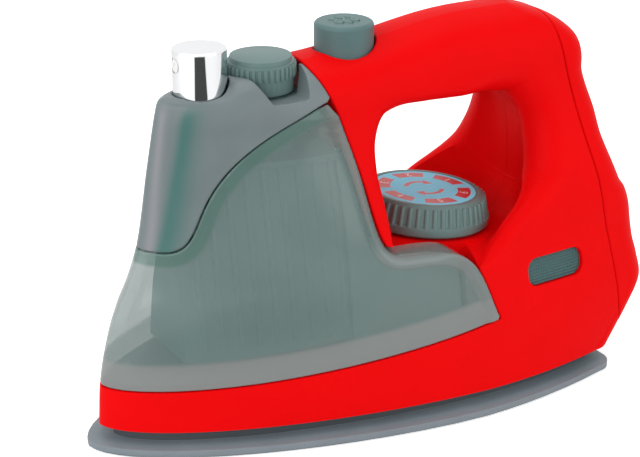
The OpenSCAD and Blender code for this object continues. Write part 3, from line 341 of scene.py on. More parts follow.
@dataclass
class Skin:
    """The iron's outer skin in millimetres: u runs back from the sole's nose tip, y to the right, z up."""

    body_w: float = 93.5
    grip_w: float = 41.0
    body_top: float = 138.0
    skirt_z: float = 8.2
    total_len: float = 217.0
    heel_taper: float = 0.13
    taper_from: float = 0.35
    taper_over: float = 0.2
    rear_corner: float = 10.0
    corner_share: float = 0.7
    plan_p: float = 1.6
    plan_q: float = 0.6
    arch_drop: float = 8.5
    arch_peak: float = 152.0
    arch_front: float = 80.0
    arch_from: float = 0.6
    cap_share: float = 0.1
    cap_rise: float = 0.3
    step: float = 2e-3
    width_fall: tuple[Point, ...] = (
        (0, 0), (0.13, 0.09), (0.30, 0.24), (0.44, 0.40), (0.55, 0.58), (0.65, 0.76), (0.75, 0.9),
        (0.85, 0.98), (1, 1))
    nose_back: tuple[Point, ...] = (
        (0, 4.6), (0.13, 6), (0.25, 9.5), (0.33, 13.2), (0.40, 17.6), (0.48, 21.4), (0.57, 23.8),
        (0.72, 26.7), (0.88, 29.8), (1, 33))
    rear_reach: tuple[Point, ...] = (
        (0, -16.5), (0.05, -11.5), (0.10, -6.5), (0.18, 0), (0.25, -1), (0.305, -2.7), (0.40, -4),
        (0.456, -6.7), (0.487, -9.6), (0.61, -15.2), (0.695, -17.1), (0.80, -20.9), (0.85, -20.8),
        (0.90, -22.7), (0.938, -27.3), (0.97, -34), (1, -46.4))
    widest_at: tuple[Point, ...] = ((0, 140), (0.3, 128), (0.6, 100), (0.88, 76), (1, 72))
    crown: tuple[Point, ...] = (
        (0, 1), (0.85, 1), (0.90, 0.955), (0.94, 0.84), (0.97, 0.66), (0.99, 0.42), (1, 0.25))

    def half_width(self, s: Array) -> Array:
        """Half widths at shares of the height, before the crown draws them in."""
        return (self.body_w + (self.grip_w - self.body_w) * hermite(self.width_fall, s)) / 2

    def bulge(self, t: Array) -> Array:
        """Share of the half width at shares of the way from the nose to the widest place."""
        return np.power(np.maximum(1 - np.power(1 - t, self.plan_p), 0), self.plan_q)

    def level_at(self, z: Array, top: float) -> Array:
        """Shares of the height at heights, up to a largest one."""
        return np.clip((z - self.skirt_z) / (self.body_top - self.skirt_z), 0, top)

    def point(self, tau: Array, level: Array) -> Array:
        """Points of the right-hand skin.

        Args:
            tau: 0 at the nose, 1 at the widest place, 2 at the rear corner, 3 past it, 4 at the rear middle
            level: share of the height, and above 1 the flat crown

        Returns:
            Array with a last axis of u, y, z.
        """
        s = np.minimum(level, 1.0)
        cap = np.clip((level - 1) / self.cap_share, 0, 1)
        u0 = hermite(self.nose_back, s)
        um = hermite(self.widest_at, s)
        w = self.half_width(s) * hermite(self.crown, s)
        rc = np.minimum(self.rear_corner, self.corner_share * w)
        ue = self.total_len + hermite(self.rear_reach, s) - rc
        taper = self.heel_taper * (1 - ramp(s, self.taper_from, self.taper_over))
        we = w * (1 - taper) - rc
        t = 1 - np.cos(np.pi / 2 * np.clip(tau, 0, 1))
        f = np.clip(tau - 1, 0, 1)
        a = np.clip(tau - 2, 0, 1) * np.pi / 2
        flat = np.clip(tau - 3, 0, 1)
        rear_u = np.where(tau <= 2, um + (ue - um) * f, ue + rc * np.sin(a))
        rear_y = np.where(tau <= 3, we + rc * np.cos(a), we * (1 - flat))
        u = np.where(tau <= 1, u0 + (um - u0) * t, rear_u)
        y = np.where(tau <= 1, w * self.bulge(t), np.where(tau <= 2, w * (1 - taper * f * f), rear_y))
        arch = 1 - ramp(u, self.arch_front, self.arch_peak - self.arch_front)
        lift = -self.arch_drop * arch * ramp(s, self.arch_from, 1 - self.arch_from)
        z = self.skirt_z + (self.body_top - self.skirt_z) * s + lift + self.cap_rise * (1 - (1 - cap) ** 2)
        return np.stack([u, y * (1 - cap), z], axis=-1)

    def half_at(self, u: Array, z: Array) -> Array:
        """Half width ahead of the widest place.

        Args:
            u: places along the iron
            z: heights

        Returns:
            Half widths.
        """
        s = self.level_at(z, 0.99)
        u0, um = hermite(self.nose_back, s), hermite(self.widest_at, s)
        t = np.clip((u - u0) / (um - u0), 0, 1)
        return self.half_width(s) * hermite(self.crown, s) * self.bulge(t)

    def normal(self, tau: Array, level: Array) -> Array:
        """Outward normals of the right-hand skin."""
        return surface_normal(self.point, tau, level, self.step, 1 + self.cap_share)


SKIN = Skin()


def segment_gap(a: Array, b: Array, p: Array) -> Array:
    """Distance from points to a straight piece.

    Args:
        a: its start
        b: its end
        p: points to measure

    Returns:
        Distances.
    """
    edge = b - a
    t = np.clip(((p - a) @ edge) / max(edge @ edge, TINY), 0, 1)
    return np.linalg.norm(p - a - t[..., None] * edge, axis=-1)


def line_gap(line: Array, flat: Array) -> Array:
    """Distance from points to an open line of straight pieces.

    Args:
        line: points of the line
        flat: points to measure

    Returns:
        Distances.
    """
    gap = np.full(flat.shape[:-1], np.inf)
    for a, b in zip(line[:-1], line[1:]):
        gap = np.minimum(gap, segment_gap(a, b, flat))
    return gap


def polygon_distance(outline: Array, flat: Array) -> Array:
    """Signed distance to a polygon, negative inside.

    Args:
        outline: corners
        flat: points to measure

    Returns:
        Distances.
    """
    p = flat.reshape(-1, 2)
    inside = np.zeros(len(p), bool)
    for a, b in zip(outline, np.roll(outline, -1, axis=0)):
        spans = (a[1] > p[:, 1]) != (b[1] > p[:, 1])
        with np.errstate(divide="ignore", invalid="ignore"):
            cross = p[:, 0] < (b[0] - a[0]) * (p[:, 1] - a[1]) / (b[1] - a[1]) + a[0]
        inside ^= spans & cross
    best = line_gap(np.concatenate([outline, outline[:1]]), p)
    return np.where(inside, -best, best).reshape(flat.shape[:-1])


@dataclass
class Lines:
    """Side-view lines that part the mouldings, as u and z in millimetres."""

    before: float = -30.0
    above: float = 160.0
    below: float = -5.0
    tank_low: float = 23.0
    tank_climb: float = 10.5
    tail_u: float = 143.5
    skirt_points: int = 40
    deck_z: float = 59.0
    dial_lean: float = 5.0
    wing_in: float = 26.0
    flat_half: float = 15.0
    flat_fall: float = 0.8
    flat_span: Point = (64.0, 16.0)
    shelf_span: Point = (70.0, 12.0)
    shelf_least: float = 2.0
    seam_half: float = 0.05
    rim_step: float = 0.125
    wrap: int = 3
    opening_rim: tuple[Point, ...] = (
        (102.6, 64), (107, 59.4), (123, 56.5), (135, 53.5), (145, 60.5), (152.5, 66.6), (160, 72),
        (165.3, 77.5), (168.7, 85), (170.3, 93.5), (169.5, 102), (164, 108.6), (154, 110.6), (140, 111.1),
        (126, 111.6), (115, 112), (107.8, 109.3), (104, 103), (102.6, 95), (102.3, 80))
    opening_middle: tuple[Point, ...] = (
        (107.6, 60.8), (112.5, 61), (125, 60), (138, 58.87), (151, 57.73), (162.5, 56.75), (169, 60),
        (172.6, 67), (173.8, 78), (173.8, 90), (172.6, 101), (166.5, 107.6), (156, 109.8), (140, 110.4),
        (126, 110.8), (116.5, 110.6), (109.4, 107.2), (106.6, 100.5), (106.4, 92), (106.6, 80))
    cover_nose_z: float = 71.0
    cover_top: float = 122.6
    cap_u: float = 69.8
    notch_drop: float = 3.0
    collar_rise: float = 4.8
    cup_rise: float = 6.0

    def skirt_at(self, u: Array) -> Array:
        """Heights of the line between skirt and tank."""
        return self.tank_low + self.tank_climb * (u / self.tail_u) ** 2

    def tank_edge(self) -> Array:
        """The line between tank and body, from the tower down to the tail.

        Returns:
            Points of the line.
        """
        tail = (self.tail_u, self.tank_low + self.tank_climb)
        return np.concatenate([
            [[80, self.above]],
            bezier((81.5, 131), (87, 119), (93, 100), (95.4, 83)),
            bezier((95.4, 83), (97, 74), (98.5, 65), (105, 64))[1:],
            bezier((105, 64), (114, 63), (126, 64.5), (133.5, 56))[1:],
            bezier((133.5, 56), (138.5, 50), (140, 41), tail)[1:]])

    def ahead(self) -> Array:
        """Outline of everything ahead of the tank edge and above the skirt.

        Returns:
            A polygon.
        """
        u = np.linspace(self.tail_u, 0, self.skirt_points)[1:]
        skirt = np.stack([u, self.skirt_at(u)], axis=1)
        front = [[self.before, self.tank_low], [self.before, self.above]]
        return np.concatenate([self.tank_edge(), skirt, front])

    def above_cover(self) -> Array:
        """Outline of everything above the nose cover's lower edge, whose last two corners are far off.

        Returns:
            A polygon.
        """
        z = self.cover_nose_z
        lower = bezier((26, z), (37, z), (36, 82), (44, 93))
        upper = bezier((44, 93), (52, 104), (66, 113), (90, 119.5))[1:]
        far = [[90, self.above], [self.before, self.above]]
        return np.concatenate([[[self.before, z]], lower, upper, far])

    def ahead_of_rear(self) -> Array:
        """Outline of everything ahead of the rear cover.

        Returns:
            A polygon.
        """
        line = bezier((180.5, 134), (185.3, 108), (199.3, 52), (203, 14))
        front = [[203.5, self.below], [self.before, self.below], [self.before, self.above]]
        return np.concatenate([[[178.5, self.above]], line, front])

    def cover_roof(self) -> Array:
        """The nose cover's roof line, with the notch beside the filler cap and the cup behind it.

        Returns:
            Points of the line, from the front.
        """
        low, top, high = self.cover_top - self.notch_drop, self.cover_top, self.cover_top + self.cup_rise
        rise = top + self.collar_rise
        u = self.cap_u
        collar = bezier((u - 22, top), (u - 16, top), (u - 16, rise), (u - 10.5, rise))
        shoulder = bezier((u - 10.5, rise), (u - 9, rise), (u - 8.5, rise - 0.5), (u - 7.8, rise - 2), 8)
        foot = bezier((u - 5.2, low + 1), (u - 4.6, low), (u - 4, low), (u - 3, low), 6)
        back = [[u + 8.5, low], [u + 11.5, high], [110, high]]
        return np.concatenate([[[self.before, top]], collar, shoulder[1:], foot, back])

    def scoop(self, at: Array) -> tuple[Array, Array]:
        """The handle opening's outline on the flanks and in the middle plane.

        Args:
            at: places round the opening, where whole numbers are the landmarks

        Returns:
            Points of the rim and points of the middle curve.
        """
        count = len(self.opening_rim)
        knots = np.arange(-self.wrap, count + self.wrap)
        out = []
        for marks in (self.opening_rim, self.opening_middle):
            ring = np.array(marks)
            wrapped = np.concatenate([ring[-self.wrap:], ring, ring[:self.wrap]])
            curves = [hermite(np.stack([knots, wrapped[:, k]], 1), at % count) for k in (0, 1)]
            out.append(np.stack(curves, -1))
        return out[0], out[1]

    def opening(self) -> Array:
        """Outline of the handle opening on the flanks."""
        return self.scoop(np.arange(0, len(self.opening_rim), self.rim_step))[0]

    def scooped(self, start: Array, share: float) -> Array:
        """Points part of the way in from the opening's rim to the middle.

        Args:
            start: points on the rim
            share: share of the way in

        Returns:
            Points.
        """
        rim, middle = self.scoop(np.arange(0, len(self.opening_rim), self.rim_step / 2))
        flat = start[:, [0, 2]]
        edge = np.roll(rim, -1, axis=0) - rim
        along = np.einsum("nkc,kc->nk", flat[:, None] - rim[None], edge) / np.einsum("kc,kc->k", edge, edge)
        along = np.clip(along, 0, 1)
        gap = np.linalg.norm(flat[:, None] - rim[None] - along[..., None] * edge[None], axis=-1)
        near = np.argmin(gap, axis=1)
        part = along[np.arange(len(near)), near][:, None]
        shift = middle - rim
        shift = shift[near] * (1 - part) + np.roll(shift, -1, axis=0)[near] * part
        y = start[:, 1] * (1 - share)
        level = self.flat_half * (1 - self.flat_fall * ramp(start[:, 2], *self.flat_span))
        flare = np.clip((y - level) / np.maximum(start[:, 1] - level, SMALL), 0, 1) ** 2
        moved = flat + shift * (1 - flare)[:, None]
        return np.stack([moved[:, 0], np.maximum(y, self.seam_half), moved[:, 1]], axis=1)

    def shelf(self, start: Array, share: float) -> Array:
        """Points part of the way in over the top of the tank's wings.

        Args:
            start: points on the tank's rear edge
            share: share of the way in

        Returns:
            Points.
        """
        low = 1 - ramp(start[:, 2], *self.shelf_span)
        wide = np.maximum(start[:, 1] - self.wing_in - self.shelf_least, 0)
        inner = start.copy()
        inner[:, 1] = np.maximum(start[:, 1] - (self.shelf_least + wide * low) * share, 0)
        return inner


LINES = Lines()


@dataclass
class Cut:
    """One edge of a panel.

    Args:
        distance: signed distance, negative on the kept side
        radius: rounding of the edge
        depth: how far the edge turns in
        inwards: gives points part of the way in from the edge, instead of the depth
        steps: rows round the edge
        wider: gives the rounding where it changes along the edge, instead of the radius
    """

    distance: Distance
    radius: float = 0.7
    depth: float = 2.0
    inwards: Callable[[Array, float], Array] | None = None
    steps: int = 3
    wider: Distance | None = None

    def round_at(self, p: Array) -> Array:
        """Rounding of the edge at points."""
        return np.full(p.shape[:-1], self.radius) if self.wider is None else self.wider(p)


def side(outline: Array, keep: Keep = Keep.INSIDE, shift: float = 0.15) -> Distance:
    """Distance to a side-view outline in u and z, with a gap left at the line."""
    return lambda p: keep.value * polygon_distance(outline, p[..., [0, 2]]) + shift


def upright(u: float, radius: float, low: float) -> Distance:
    """Distance that keeps what is outside an upright bore that starts at a height."""
    return lambda p: np.where(p[..., 2] < low, -FAR, radius - np.hypot(p[..., 0] - u, p[..., 1]))


def to_middle(start: Array, share: float) -> Array:
    """Points part of the way straight in to the middle plane."""
    y = LINES.seam_half + (start[:, 1] - LINES.seam_half) * (1 - share)
    return np.stack([start[:, 0], y, start[:, 2]], axis=1)


@dataclass
class Sheet:
    """A surface over two parameters, trimmed by cuts and given rounded edges.

    Args:
        place: gives points for the two parameters
        facing: gives normals for the two parameters, needed where there are cuts
        first: values of the first parameter
        second: values of the second parameter
        cuts: edges of the panel
        inner_rows: rows from the rounding to the end of the turned-in edge
        verts: the points in millimetres, once built
        faces: the faces, once built
    """

    place: Surface
    facing: Surface | None
    first: Array
    second: Array
    cuts: list[Cut] = field(default_factory=list)
    inner_rows: int = 1
    verts: list = field(default_factory=list)
    faces: list = field(default_factory=list)

    def limit(self, p: Array) -> Array:
        """Signed distance to the nearest edge's rounding.

        Args:
            p: points

        Returns:
            Distances, negative inside the panel.
        """
        if not self.cuts:
            return np.full(p.shape[:-1], -1.0)
        return np.max([c.distance(p) + c.round_at(p) for c in self.cuts], axis=0)

    def build(self) -> "Sheet":
        """Trims the grid and rolls its edges in.

        Returns:
            The sheet itself, with verts and faces in millimetres.
        """
        a, b = np.meshgrid(self.first, self.second, indexing="ij")
        grid = self.place(a, b)
        keep = self.limit(grid) < 0
        ids = np.arange(a.size).reshape(a.shape)
        pairs = np.concatenate([np.stack([ids[:-1].ravel(), ids[1:].ravel()], 1),
                                np.stack([ids[:, :-1].ravel(), ids[:, 1:].ravel()], 1)])
        flat_a, flat_b, flat_keep = a.ravel(), b.ravel(), keep.ravel()
        pairs = pairs[flat_keep[pairs[:, 0]] != flat_keep[pairs[:, 1]]]
        low, high = np.zeros(len(pairs)), np.ones(len(pairs))
        start = flat_keep[pairs[:, 0]]

        def between(f: Array) -> tuple[Array, Array]:
            """The two parameters part of the way along each crossed edge."""
            i, k = pairs[:, 0], pairs[:, 1]
            return flat_a[i] + (flat_a[k] - flat_a[i]) * f, flat_b[i] + (flat_b[k] - flat_b[i]) * f

        for _ in range(EDGE_HALVINGS):
            mid = (low + high) / 2
            same = (self.limit(self.place(*between(mid))) < 0) == start
            low, high = np.where(same, mid, low), np.where(same, high, mid)
        edge_a, edge_b = between((low + high) / 2)
        edge_p = self.place(edge_a, edge_b)
        points = np.concatenate([grid.reshape(-1, 3), edge_p])
        crossing = {(int(i), int(k)): a.size + n for n, (i, k) in enumerate(pairs)}
        faces, rim = [], []
        for i in range(a.shape[0] - 1):
            for k in range(a.shape[1] - 1):
                corner = [int(ids[i, k]), int(ids[i, k + 1]), int(ids[i + 1, k + 1]), int(ids[i + 1, k])]
                kept = [bool(flat_keep[c]) for c in corner]
                if all(kept):
                    faces.append(corner)
                elif any(kept):
                    ring = []
                    for n in range(4):
                        c, d = corner[n], corner[(n + 1) % 4]
                        if kept[n]:
                            ring.append(c)
                        if kept[n] != kept[(n + 1) % 4]:
                            ring.append(crossing[(min(c, d), max(c, d))])
                    if len(ring) > 2:
                        faces.append(ring)
                        rim += [e for e in zip(ring, ring[1:] + ring[:1]) if min(e) >= a.size]
        if len(pairs):
            points, faces = self.roll(points, faces, rim, edge_p, self.facing(edge_a, edge_b))
        used = sorted({v for f in faces for v in f})
        index = {v: n for n, v in enumerate(used)}
        self.verts = points[used]
        self.faces = [[index[v] for v in f] for f in faces]
        return self

    def roll(self, points: Array, faces: list, rim: list, edge: Array, out: Array) -> Part:
        """Adds the rounded and turned-in rows along every trimmed edge.

        Args:
            points: all points so far, the edge points last
            faces: all faces so far
            rim: pairs of points along trimmed edges
            edge: the edge points
            out: normals there

        Returns:
            The longer points and faces.
        """
        radii = np.stack([c.round_at(edge) for c in self.cuts])
        which = np.argmax(np.stack([c.distance(edge) for c in self.cuts]) + radii, axis=0)
        slope = np.zeros_like(edge)
        for n, cut in enumerate(self.cuts):
            mine = which == n
            for axis in range(3):
                shift = np.zeros(3)
                shift[axis] = SLOPE_STEP
                slope[mine, axis] = cut.distance(edge[mine] + shift) - cut.distance(edge[mine] - shift)
        slope = unit(slope - np.sum(slope * out, axis=1, keepdims=True) * out)
        radius = radii[which, np.arange(len(edge))][:, None]
        depth = np.array([c.depth for c in self.cuts])[which][:, None]
        count = max(c.steps for c in self.cuts)
        rows = []
        for n in range(1, count + 1):
            turn = math.pi / 2 * n / count
            rows.append(edge + slope * radius * math.sin(turn) - out * radius * (1 - math.cos(turn)))
        start = rows[-1]
        for n in range(1, self.inner_rows + 1):
            row = start - out * depth * n / self.inner_rows
            for k, cut in enumerate(self.cuts):
                mine = which == k
                if cut.inwards is not None and mine.any():
                    row[mine] = cut.inwards(start[mine], n / self.inner_rows)
            rows.append(row)
        size = len(edge)
        for x, y in rim:
            for n in range(len(rows)):
                faces.append([y + n * size, x + n * size, x + (n + 1) * size, y + (n + 1) * size])
        return np.concatenate([points, *rows]), faces


def to_frame(points: Array, mirror: bool = False) -> Array:
    """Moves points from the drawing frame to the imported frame, in metres, or to its left-hand side."""
    moved = np.array(points, float) - [SKIN.total_len / 2, 0, 0]
    return moved * [1, -1 if mirror else 1, 1] * MM


def drawn_points(mesh: bpy.types.Mesh) -> Array:
    """A mesh's points in the drawing frame.

    Args:
        mesh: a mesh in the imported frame

    Returns:
        Points in millimetres.
    """
    co = np.empty(len(mesh.vertices) * 3)
    mesh.vertices.foreach_get("co", co)
    return co.reshape(-1, 3) / MM + [SKIN.total_len / 2, 0, 0]


def write_layers(mesh: bpy.types.Mesh, **layers: Array) -> None:
    """Writes layers of values at a mesh's points.

    Args:
        mesh: the mesh
        layers: values by name of the layer
    """
    for name, values in layers.items():
        layer = mesh.attributes.new(name, "FLOAT", "POINT")
        layer.data.foreach_set("value", np.ascontiguousarray(values, dtype=np.float32))


def link(name: str, data: bpy.types.ID, at: Triple = (0.0, 0.0, 0.0)) -> bpy.types.Object:
    """Puts an object into the scene.

    Args:
        name: name of the object
        data: its mesh, light or camera
        at: its place in metres

    Returns:
        The object.
    """
    obj = bpy.data.objects.new(name, data)
    obj.location = at
    bpy.context.scene.collection.objects.link(obj)
    return obj


def show(name: str, mesh: bpy.types.Mesh, finish: Finish, body: Body) -> bpy.types.Object:
    """Makes one piece of the iron from a mesh.

    Args:
        name: name of the object
        mesh: its mesh in metres
        finish: its finish
        body: the body that it rides on

    Returns:
        The object, riding on its body.
    """
    obj = link(name, mesh)
    mesh.materials.clear()
    mesh.materials.append(finish.material())
    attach(obj, body.value)
    LOG.info("%s: %d faces", name, len(mesh.polygons))
    return obj


def piece(name: str, made: bmesh.types.BMesh, finish: Finish, body: Body, sharp: float) -> bpy.types.Object:
    """Makes one object from a finished bmesh.

    Args:
        name: name of the object
        made: the mesh in metres, freed here
        finish: its finish
        body: the body that it rides on
        sharp: angle in degrees over which edges stay sharp, or 0 for none

    Returns:
        The object, riding on its body.
    """
    mesh = bpy.data.meshes.new(name)
    for f in made.faces:
        f.smooth = True
    made.to_mesh(mesh)
    made.free()
    if sharp:
        mesh.set_sharp_from_angle(angle=math.radians(sharp))
    return show(name, mesh, finish, body)


def mesh_object(name: str, parts: Sequence[Part], finish: Finish, body: Body,
                sharp: float = 0.0) -> bpy.types.Object:
    """Makes one object from several lists of points and faces.

    Args:
        name: name of the object
        parts: pairs of points in metres and faces
        finish: its finish
        body: the body that it rides on
        sharp: angle in degrees over which edges stay sharp, or 0 for none

    Returns:
        The object, riding on its body.
    """
    points, faces, base = [], [], 0
    for verts, polys in parts:
        points.append(verts)
        faces += [[v + base for v in f] for f in polys]
        base += len(verts)
    mesh = bpy.data.meshes.new("draft")
    mesh.from_pydata(np.concatenate(points).tolist(), [], faces)
    made = bmesh.new()
    made.from_mesh(mesh)
    bpy.data.meshes.remove(mesh)
    bmesh.ops.remove_doubles(made, verts=made.verts, dist=SMALL)
    bmesh.ops.dissolve_degenerate(made, edges=made.edges, dist=SLIVER)
    return piece(name, made, finish, body, sharp)


def both_sides(sheet: Sheet) -> list[Part]:
    """A built right-hand sheet and its mirror image."""
    flipped = [f[::-1] for f in sheet.faces]
    return [(to_frame(sheet.verts), sheet.faces), (to_frame(sheet.verts, True), flipped)]


def replace_pair(kind: str, look: str, sheet: Sheet, finish: Finish, sharp: float = 0.0) -> None:
    """Replaces the right and left nodes of a kind by a built sheet and its mirror image."""
    for name, part in zip((f"{kind}_right", f"{kind}_left"), both_sides(sheet)):
        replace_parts(mesh_object(f"{look}_{name}", [part], finish, Body.IRON, sharp), name)


def climb(*counts: int) -> Array:
    """Values from 0 that rise by 1 over each count of steps."""
    return np.concatenate([[0.0], *[np.linspace(k, k + 1, n + 1)[1:] for k, n in enumerate(counts)]])


def level_steps(rows: int, crown: int, cap: int) -> Array:
    """Heights of the skin's rows, close together over the crown.

    Args:
        rows: rows up the side
        crown: rows round the crown
        cap: rows across the top

    Returns:
        Values for the skin's second parameter.
    """
    bend = CROWN_FROM + (1 - CROWN_FROM) * np.sin(np.linspace(0, np.pi / 2, crown + 1))[1:]
    return np.concatenate([np.linspace(0, CROWN_FROM, rows + 1), bend,
                           np.linspace(1, 1 + SKIN.cap_share, cap + 1)[1:]])


@dataclass
class Shells:
    """The red body halves, the rear cover, the opening's deck and the side lenses."""

    rim_radius: float = 5.5
    soft_rim: float = 6.5
    crisp_rim: float = 0.7
    rim_up: Point = (66.0, 26.0)
    rim_back: Point = (133.0, 16.0)
    soft_up: Point = (62.0, 16.0)
    soft_back: Point = (140.0, 25.0)
    button_u: float = 102.6
    button_hole: float = 11.0
    button_low: float = 110.0
    lens_u: float = 170.5
    lens_z: float = 46.5
    lens_len: float = 25.8
    lens_h: float = 10.2
    lens_corner: float = 0.4
    lens_reach: float = 40.0
    lens_sink: float = 1.7
    lens_gap: float = 0.05
    lens_tau: Point = (1.25, 1.85)
    lens_level: Point = (0.24, 0.35)
    dome_pitch: float = 2.2
    dome_height: float = 0.22
    speaker_z: float = 38.0
    speaker_reach: float = 8.68
    grille_from: float = 204.0
    slots: int = 5
    slot_pitch: float = 4.0
    slot_start: float = 1.6
    slot_half: float = 1.0
    core_half: float = 25.85
    core_low: float = 30.0
    core_drop: float = 0.06
    core_from: float = 19.5
    core_to: float = 24.2

    def rim_at(self, p: Array) -> Array:
        """Rounding of the handle opening, softest along its rear wall.

        Args:
            p: points

        Returns:
            Radii.
        """
        u, z = p[..., 0], p[..., 2]
        full = np.maximum(ramp(z, *self.rim_up), ramp(u, *self.rim_back))
        soft = ramp(u, *self.soft_back) * ramp(z, *self.soft_up)
        return self.crisp_rim + (self.rim_radius - self.crisp_rim) * full + self.soft_rim * soft

    def window(self, p: Array) -> Array:
        """Distance that keeps what is outside the side window.

        Args:
            p: points

        Returns:
            Distances.
        """
        r = self.lens_h * self.lens_corner
        du = np.abs(p[..., 0] - self.lens_u) - self.lens_len / 2 + r
        dz = np.abs(p[..., 2] - self.lens_z) - self.lens_h / 2 + r
        outside = np.hypot(np.maximum(du, 0), np.maximum(dz, 0)) + np.minimum(np.maximum(du, dz), 0) - r
        return np.where(np.abs(p[..., 0] - self.lens_u) < self.lens_reach, -outside, -FAR)

    def grille(self, p: Array) -> Array:
        """Distance that keeps what is outside the speaker slots.

        Args:
            p: points

        Returns:
            Distances.
        """
        best = np.full(p.shape[:-1], FAR)
        middle = (self.slots - 1) / 2
        y = np.abs(p[..., 1])
        for k in range(self.slots):
            reach = self.speaker_reach * math.sqrt(1 - 2 * ((k - middle) / self.slots) ** 2)
            dz = p[..., 2] - self.speaker_z - (k - middle) * self.slot_pitch
            best = np.minimum(best, np.hypot(y - np.clip(y, self.slot_start, reach), dz) - self.slot_half)
        return np.where(p[..., 0] > self.grille_from, -best, -FAR)

    def build(self) -> None:
        """Makes the red pieces and the lenses."""
        level = level_steps(150, 30, 6)
        rear = LINES.ahead_of_rear()
        cuts = [Cut(side(LINES.ahead(), Keep.OUTSIDE), inwards=to_middle),
                Cut(side(rear), radius=0.6),
                Cut(side(LINES.opening(), Keep.OUTSIDE, shift=0.0), inwards=LINES.scooped, steps=8,
                    wider=self.rim_at),
                Cut(self.window, radius=0.6, depth=2.4),
                Cut(upright(self.button_u, self.button_hole, self.button_low), radius=0.8, depth=4.0)]
        sheet = Sheet(SKIN.point, SKIN.normal, climb(80, 110, 16, 14), level, cuts, inner_rows=14).build()
        replace_pair("shell", "skin", sheet, RED, SHARP)
        rear_cuts = [Cut(side(rear, Keep.OUTSIDE), radius=0.6), Cut(self.grille, radius=0.3, depth=1.6)]
        cover = Sheet(SKIN.point, SKIN.normal, climb(4, 60, 30, 40), level, rear_cuts).build()
        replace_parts(mesh_object("skin_rear_cover", both_sides(cover), RED, Body.IRON, SHARP), "rear_cover")
        self.deck()
        inside = Cut(lambda p: -self.window(p) - self.lens_gap, radius=0.1, depth=1.0)
        lens = Sheet(self.lens_at, SKIN.normal, np.linspace(*self.lens_tau, 210),
                     np.linspace(*self.lens_level, 90), [inside]).build()
        replace_pair("lens", "domed", lens, LENS)

    def deck(self) -> None:
        """Makes the floor and front of the handle opening between the tank's wings."""
        at = np.arange(len(LINES.opening_rim), self.core_to, LINES.rim_step)
        path = LINES.scoop(np.concatenate([[self.core_from], at]))[1]
        made = bmesh.new()
        line = [made.verts.new((x, -self.core_half, z - self.core_drop)) for x, z in path]
        edges = [made.edges.new(pair) for pair in zip(line[:-1], line[1:])]
        across = bmesh.ops.extrude_edge_only(made, edges=edges)["geom"]
        far = [v for v in across if isinstance(v, bmesh.types.BMVert)]
        bmesh.ops.translate(made, vec=(0, 2 * self.core_half, 0), verts=far)
        rims = [e for e in made.edges
                if len(e.link_faces) == 1 and abs(e.verts[0].co.y - e.verts[1].co.y) < SMALL]
        down = bmesh.ops.extrude_edge_only(made, edges=rims)["geom"]
        for v in down:
            if isinstance(v, bmesh.types.BMVert):
                v.co.z = self.core_low
        bmesh.ops.recalc_face_normals(made, faces=made.faces)
        bmesh.ops.translate(made, vec=(-SKIN.total_len / 2, 0, 0), verts=made.verts)
        bmesh.ops.scale(made, vec=(MM, MM, MM), verts=made.verts)
        piece("core_deck", made, RED, Body.IRON, sharp=40.0)

    def lens_at(self, tau: Array, level: Array) -> Array:
        """Points of the sunk lens with its rows of small domes.

        Args:
            tau: place along the plan
            level: share of the height

        Returns:
            Points.
        """
        p = SKIN.point(tau, level)
        wave = 2 * math.pi / self.dome_pitch
        domes = np.cos(wave * (p[..., 0] + p[..., 2])) * np.cos(wave * (p[..., 0] - p[..., 2]))
        return p - SKIN.normal(tau, level) * (self.lens_sink - self.dome_height * domes)[..., None]


